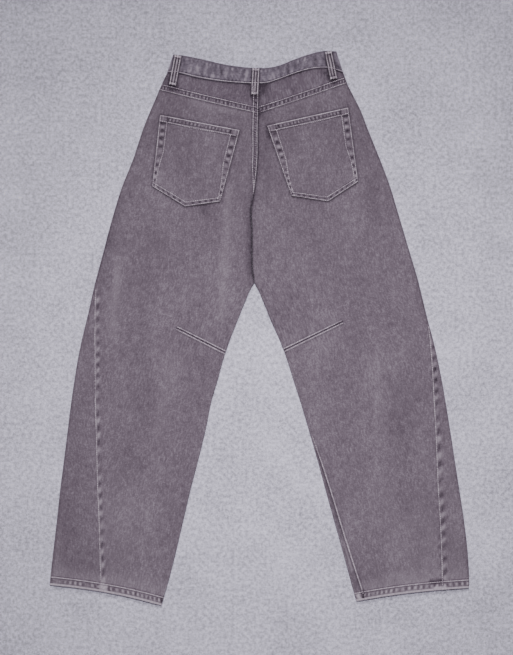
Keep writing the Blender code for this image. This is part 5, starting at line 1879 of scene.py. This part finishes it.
@dataclass
class Sewing:
    """Runs of stitches on the cloth, each run a joined mesh of small threads."""

    finish: bpy.types.Material
    shift: Vector
    pitch: float = 3.4
    length: float = 2.7
    width: float = 1.1
    height: float = 0.6
    sides: int = 6

    def __post_init__(self) -> None:
        """Make the shape of one stitch, along X."""
        rings = ((-0.36, 0.8), (-0.12, 1.0), (0.12, 1.0), (0.36, 0.8))
        points = [(-0.5, 0.0, 0.0)]
        for place, size in rings:
            for step in range(self.sides):
                angle = 2 * math.pi * step / self.sides
                points.append((place, 0.5 * size * math.cos(angle), 0.5 * size * math.sin(angle)))
        points.append((0.5, 0.0, 0.0))
        self.points = np.array(points) * np.array((self.length, self.width, self.height))
        faces = []
        last = len(points) - 1
        final = 1 + (len(rings) - 1) * self.sides
        for step in range(self.sides):
            after = (step + 1) % self.sides
            faces.append((0, 1 + after, 1 + step))
            faces.append((last, final + step, final + after))
            for ring in range(len(rings) - 1):
                first = 1 + ring * self.sides
                second = first + self.sides
                faces.append((first + step, first + after, second + after, second + step))
        self.faces = faces
        self.ground: Optional[BVHTree] = None

    def lay_on(self, pieces: Sequence[bpy.types.Object]) -> None:
        """Keep the cloth pieces that the stitches go on."""
        points: list[Vector] = []
        faces: list[tuple[int, ...]] = []
        for piece in pieces:
            start = len(points)
            points.extend(vertex.co for vertex in piece.data.vertices)
            faces.extend(
                tuple(start + number for number in face.vertices) for face in piece.data.polygons
            )
        self.ground = BVHTree.FromPolygons(points, faces)

    def surface(self, point: Array) -> Optional[Vector]:
        """Return the place on the cloth below a point of the drawing."""
        x = float(point[0]) * METRES + self.shift.x
        y = float(point[1]) * METRES + self.shift.y
        hit = self.ground.ray_cast(Vector((x, y, 0.1)), Vector((0.0, 0.0, -1.0)))
        return hit[0]

    def run(self, line: Array, seed: int) -> Array:
        """Return the points of a run of stitches along a line."""
        steps = np.linalg.norm(np.diff(line, axis=0), axis=1)
        walk = np.concatenate(([0.0], np.cumsum(steps)))
        count = int(walk[-1] / self.pitch)
        draw = np.random.default_rng(seed)
        middles = (np.arange(count) + 0.5) * self.pitch + draw.normal(0.0, 0.12, count)
        sway = draw.normal(0.0, 0.1, count)
        pieces = []
        for middle, off in zip(middles, sway):
            ends = []
            for place in (middle - self.length * 0.4, middle + self.length * 0.4):
                x = np.interp(place, walk, line[:, 0])
                y = np.interp(place, walk, line[:, 1])
                ends.append(self.surface(np.array((x + off, y + off))))
            if ends[0] is None or ends[1] is None:
                continue
            way = (ends[1] - ends[0]).normalized()
            side = Vector((0.0, 0.0, 1.0)).cross(way).normalized()
            up = way.cross(side)
            turn = np.array((way, side, up))
            centre = np.array((ends[0] + ends[1]) / 2 + up * 0.08 * METRES)
            pieces.append((self.points * METRES) @ turn + centre)
        return np.array(pieces)

    def build(self, name: str, lines: Sequence[Array]) -> bpy.types.Object:
        """Make one piece of several runs of stitches."""
        runs = [self.run(line, seed) for seed, line in enumerate(lines)]
        stitches = np.concatenate([run for run in runs if len(run)])
        count = len(self.points)
        faces = [
            tuple(corner + number * count for corner in face)
            for number in range(len(stitches))
            for face in self.faces
        ]
        mesh = bpy.data.meshes.new(name)
        mesh.from_pydata(stitches.reshape(-1, 3).tolist(), [], faces)
        mesh.validate()
        for face in mesh.polygons:
            face.use_smooth = True
        mesh.materials.append(self.finish)
        return placed(name, mesh)


@dataclass
class SewingPlan:
    """The lines that the sewing follows, in the drawing."""

    form: GarmentForm
    legs: dict[Side, Leg]
    band: Waistband
    pockets: dict[Side, PatchPocket]

    def yokes(self) -> list[Array]:
        """Return the twin rows above each yoke seam."""
        lines = []
        share = np.linspace(0.012, 0.988, 80)
        for leg in self.legs.values():
            rows = Rows.yoke(leg, 3.0)
            x, y = rows.point(share[None, :])
            line = np.stack((x[-1], y[-1]), axis=1)
            for away in (SEAM_ROW_AWAY, YOKE_RIDGE.rows[0]):
                lines.append(shifted(line, away * leg.inward))
        return lines

    def centre_back(self) -> list[Array]:
        """Return the twin rows along the centre back seam."""
        y = np.linspace(447.0, MIDDLE_END_Y + 6.0, 120)
        x = self.form.middle.at(y)
        far = np.maximum(MIDDLE_RIDGE.rows[0] * middle_width(y), SEAM_ROW_AWAY)
        return [np.stack((x - away, y), axis=1) for away in (SEAM_ROW_AWAY, far)]

    def outseams(self) -> list[Array]:
        """Return the row beside each outseam."""
        lines = []
        for side, leg in self.legs.items():
            y = np.linspace(OUTSEAMS[side][0].y - 12.0, -478.0, 200)
            x = leg.outer.at(y) + leg.inward * leg.outseam.at(y)
            lines.append(np.stack((x + 1.0, y), axis=1))
        return lines

    def inseam(self) -> list[Array]:
        """Return the row beside the right leg's inseam."""
        leg = self.legs[Side.RIGHT]
        y = np.linspace(-200.0, -492.0, 100)
        x = leg.inner(y) + leg.inseam.at(y) + 1.0
        return [np.stack((x, y), axis=1)]

    def hems(self) -> list[Array]:
        """Return the row above each hem."""
        lines = []
        share = np.linspace(0.012, 0.988, 90)
        for side, leg in self.legs.items():
            rows = Rows.between(leg, ROWS[side][-2:], 2.0)
            points = np.stack(rows.point(share[None, :]), axis=2)
            way = points[0] - points[-1]
            away = HEM_ROW_AWAY / np.linalg.norm(way, axis=1, keepdims=True)
            lines.append(points[-1] + away * way)
        return lines

    def waistband(self) -> list[Array]:
        """Return the row near the lower edge of the band."""
        along = np.linspace(4.0, self.band.length - 4.0, 160)
        lines = []
        for row in self.band.low_rope.rows:
            level = row / self.form.band_depth
            lines.append(np.stack(self.band.place(along, np.full_like(along, level)), axis=1))
        return lines

    def darts(self, panels: Sequence[BackPanel]) -> list[Array]:
        """Return the rows on both sides of each knee dart."""
        lines = []
        for panel in panels:
            share = np.linspace(0.0, 1.0, 40)[:, None]
            line = mix(np.array(panel.dart_tip), np.array(panel.dart_end), share)
            lines.extend(shifted(line, away) for away in (DART_ROW_AWAY, -DART_ROW_AWAY))
        return lines

    def pocket(self, side: Side) -> list[Array]:
        """Return the rows round one pocket."""
        pocket = self.pockets[side]
        corners = pocket.corners
        width = math.dist(corners.top_outer, corners.top_inner)
        depth = math.dist(corners.top_outer, corners.low_outer)
        edge = 1.1
        hem = pocket.top_band.rows[0]
        run = np.linspace(0.0, 1.0, 90)
        same = np.ones_like(run)
        across = mix(edge, width - edge, run)
        down = mix(edge, depth - edge, run)
        below = mix(hem, depth - edge, run)
        inside = pocket.side_band.rows[0] / pocket.widening(below / depth)
        low = mix(edge + 5.0, width - edge - 5.0, run)
        rows = (
            (across, edge * same),
            (across, hem * same),
            (across, (depth - edge) * same),
            (low, (depth - pocket.low_band.rows[0]) * same),
            (edge * same, down),
            ((width - edge) * same, down),
            (inside, below),
            (width - inside, below),
        )
        return [np.stack(pocket.place(x / width, y / depth), axis=1) for x, y in rows]

    def loop(self, loop: Loop) -> list[Array]:
        """Return the rows along a loop's edges and the tacks at its ends."""
        first = np.array((loop.top_x, loop.top_y))
        last = np.array((loop.low_x, loop.low_y))
        share = np.linspace(0.03, 0.97, 20)[:, None]
        line = mix(first, last, share)
        rows = [shifted(line, away) for away in (LOOP_ROW_AWAY, -LOOP_ROW_AWAY)]
        way = (last - first) / np.linalg.norm(last - first)
        side = np.array((-way[1], way[0]))
        for end, inward in ((first, way), (last, -way)):
            for away in (2.0, 3.0, 4.0):
                middle = end + inward * away
                tack = side * LOOP_TACK / 2
                rows.append(np.stack((middle - tack, middle + tack)))
        return rows


@dataclass
class Studio:
    """The plain floor, the soft lights and the camera over the garment."""

    target: Vector
    distance: float = 2.860
    lens: float = 85.0
    sensor: float = 36.0
    floor_colour: Triple = (0.71, 0.67, 0.825)
    floor_shares: tuple[float, float] = (0.52, 1.48)
    floor_reach: float = 15.0
    room_colour: Triple = (0.97, 0.98, 1.0)
    room_strength: float = 0.14
    key_place: Triple = (-0.4, 4.2, 2.75)
    key_strength: float = 1.44
    key_angle: float = 13.6
    pool_place: Triple = (0.05, 1.95, 4.5)
    pool_target: Triple = (0.03, -0.1, 0.0)
    pool_power: float = 800.0
    pool_angle: float = 23.0
    pool_size: float = 0.5

    def floor_material(self) -> bpy.types.Material:
        """Return the floor's plain material, a little cloudy."""
        values = {"Specular IOR Level": 0.2, "Roughness": 0.9}
        material, sketch = Sketch.of_material("pale floor", values)
        place = sketch.place()
        large = sketch.spread(sketch.noise(place, 9.0, 6.0, 0.7), 0.34, 0.66)
        small = sketch.spread(sketch.noise(place, 150.0, 6.0, 0.85), 0.4, 0.6)
        clouds = sketch.blend(0.74, large, small)
        dark, light = (
            tuple(value * share for value in self.floor_colour) for share in self.floor_shares
        )
        sketch.drive("Base Color", sketch.blend(clouds, dark, light))
        return material

    def floor(self) -> bpy.types.Object:
        """Make the floor."""
        mesh = bpy.data.meshes.new("floor")
        reach = self.floor_reach
        corners = [(-reach, -reach, 0), (reach, -reach, 0), (reach, reach, 0), (-reach, reach, 0)]
        mesh.from_pydata(corners, [], [(0, 1, 2, 3)])
        mesh.materials.append(self.floor_material())
        return placed("floor", mesh)

    def lamp(self, data: bpy.types.Light, place: Triple, target: Triple) -> None:
        """Put a light at a place, turned to its target."""
        lamp = placed(data.name, data)
        lamp.location = place
        aim = Vector(target) - lamp.location
        lamp.rotation_euler = aim.to_track_quat("-Z", "Y").to_euler()

    def lights(self) -> None:
        """Make the soft key light, the pool of light and the room's even light."""
        key = bpy.data.lights.new("soft key", "SUN")
        key.energy = self.key_strength
        key.angle = math.radians(self.key_angle)
        self.lamp(key, self.key_place, (0.0, 0.0, 0.0))
        pool = bpy.data.lights.new("top pool", "SPOT")
        pool.energy = self.pool_power
        pool.spot_size = math.radians(self.pool_angle)
        pool.spot_blend = 1.0
        pool.shadow_soft_size = self.pool_size
        self.lamp(pool, self.pool_place, self.pool_target)
        room = bpy.data.worlds.new("room")
        room.use_nodes = True
        background = room.node_tree.nodes["Background"]
        background.inputs["Color"].default_value = (*self.room_colour, 1.0)
        background.inputs["Strength"].default_value = self.room_strength
        bpy.context.scene.world = room

    def camera(self) -> None:
        """Make the camera, straight above the garment."""
        data = bpy.data.cameras.new("camera")
        data.lens = self.lens
        data.sensor_width = self.sensor
        camera = placed("camera", data)
        camera.location = self.target + Vector((0.0, 0.0, self.distance))
        bpy.context.scene.camera = camera

    def build(self) -> bpy.types.Object:
        """Make the studio and return its floor."""
        self.lights()
        self.camera()
        return self.floor()


class Trousers:
    """The whole garment: builds each piece and joins it to the frame."""

    def __init__(self) -> None:
        """Make the shared form and the finishes."""
        self.form = GarmentForm()
        self.legs = {
            Side.LEFT: Leg(self.form, Side.LEFT, inner_ramp=16.0, ridge_on_back=True),
            Side.RIGHT: Leg(self.form, Side.RIGHT, inner_ramp=6.0, ridge_on_back=False),
        }
        self.denim = {
            name: DenimFinish("washed denim " + name, colour).material()
            for name, colour in DENIM_COLOURS.items()
        }
        self.thread = ThreadFinish().material()
        self.metal = MetalFinish().material()
        self.band = Waistband(self.form, self.denim["waistband"])
        low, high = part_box("waist_button")
        centre = (low + high) / 2
        x, y = self.band.place(np.array(self.band.length / 2), np.array(0.5))
        self.shift = Vector((centre.x - float(x) * METRES, centre.y - float(y) * METRES, 0.0))
        self.button_centre = centre
        self.sheets: list[tuple[bpy.types.Object, Shell, list[str]]] = []
        self.panels: list[BackPanel] = []
        self.pockets: dict[Side, PatchPocket] = {}

    def join(self, piece: bpy.types.Object, node: str = "") -> None:
        """Join a piece to the frame, in place of a node if one is named."""
        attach(piece, "root")
        if node:
            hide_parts(node)
        LOG.info("%s: %d faces", piece.name, len(piece.data.polygons))

    def keep(self, maker: Maker, node: str, slot: str, *rests: str) -> None:
        """Build a cloth piece and keep it, with the pieces that it rests on."""
        piece, shell = maker.build(self.shift)
        self.join(piece, node)
        self.sheets.append((piece, shell, list(rests)))

    def cloth(self) -> None:
        """Build all the cloth pieces."""
        denim = self.denim
        for leg in self.legs.values():
            side = leg.side.value
            front = "front_panel_" + side
            tip, end = DARTS[leg.side]
            panel = BackPanel(leg, denim["back"], dart_tip=tip, dart_end=end)
            self.panels.append(panel)
            self.keep(FrontPanel(leg, denim["front"]), "front_" + side, "denim_front")
            self.keep(panel, "back_" + side, "denim_back", front)
            self.keep(YokePiece(leg, denim["yoke"]), "yoke_" + side, "denim_yoke", front)
        self.keep(self.band, "waistband", "denim_band")
        for corners in POCKETS:
            side = corners.side.value
            pocket = PatchPocket(self.legs[corners.side], corners, denim["pocket"])
            self.pockets[corners.side] = pocket
            self.keep(pocket, "pocket_" + side, "denim_pocket", "back_panel_" + side)
        for line in LOOPS:
            loop = BeltLoop(self.form, self.band, self.legs, line, denim["loop"])
            self.keep(loop, "loop_" + line.name, "denim_loop", "waistband_ring")
        shield = FlyShield(self.legs[Side.RIGHT], denim["front"])
        self.keep(shield, "fly_shield", "denim_front", "front_panel_right")

    def button(self) -> None:
        """Build the waist button."""
        button = WaistButton(self.button_centre, self.metal).build()
        self.join(button, "waist_button")

    def sewing(self) -> None:
        """Sew the pieces."""
        sewing = Sewing(self.thread, self.shift)
        sewing.lay_on([piece for piece, _, _ in self.sheets])
        plan = SewingPlan(self.form, self.legs, self.band, self.pockets)
        runs = {
            "yoke_stitches": plan.yokes(),
            "centre_back_stitches": plan.centre_back(),
            "outseam_stitches": plan.outseams(),
            "inseam_stitches": plan.inseam(),
            "hem_stitches": plan.hems(),
            "waistband_stitches": plan.waistband(),
            "dart_stitches": plan.darts(self.panels),
            "pocket_stitches_left": plan.pocket(Side.LEFT),
            "pocket_stitches_right": plan.pocket(Side.RIGHT),
            "loop_stitches": [row for loop in LOOPS if not loop.front for row in plan.loop(loop)],
        }
        for name, lines in runs.items():
            self.join(sewing.build(name, lines))

    def declare(self) -> None:
        """Log each cloth piece and its flat size."""
        for piece, shell, rests in self.sheets:
            width, length, area = shell.flat_size()
            LOG.info("%s: flat %.3f by %.3f m, %.4f m2", piece.name, width, length, area)


def main() -> None:
    """Build the trousers and the studio, and log the cloth pieces' flat sizes."""
    logging.basicConfig(level=logging.INFO, format="%(message)s")
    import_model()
    trousers = Trousers()
    trousers.cloth()
    trousers.button()
    trousers.sewing()
    trousers.declare()
    studio = Studio(Vector(PICTURE_MIDDLE) * METRES + trousers.shift)
    studio.build()


if __name__ == "__main__":
    main()
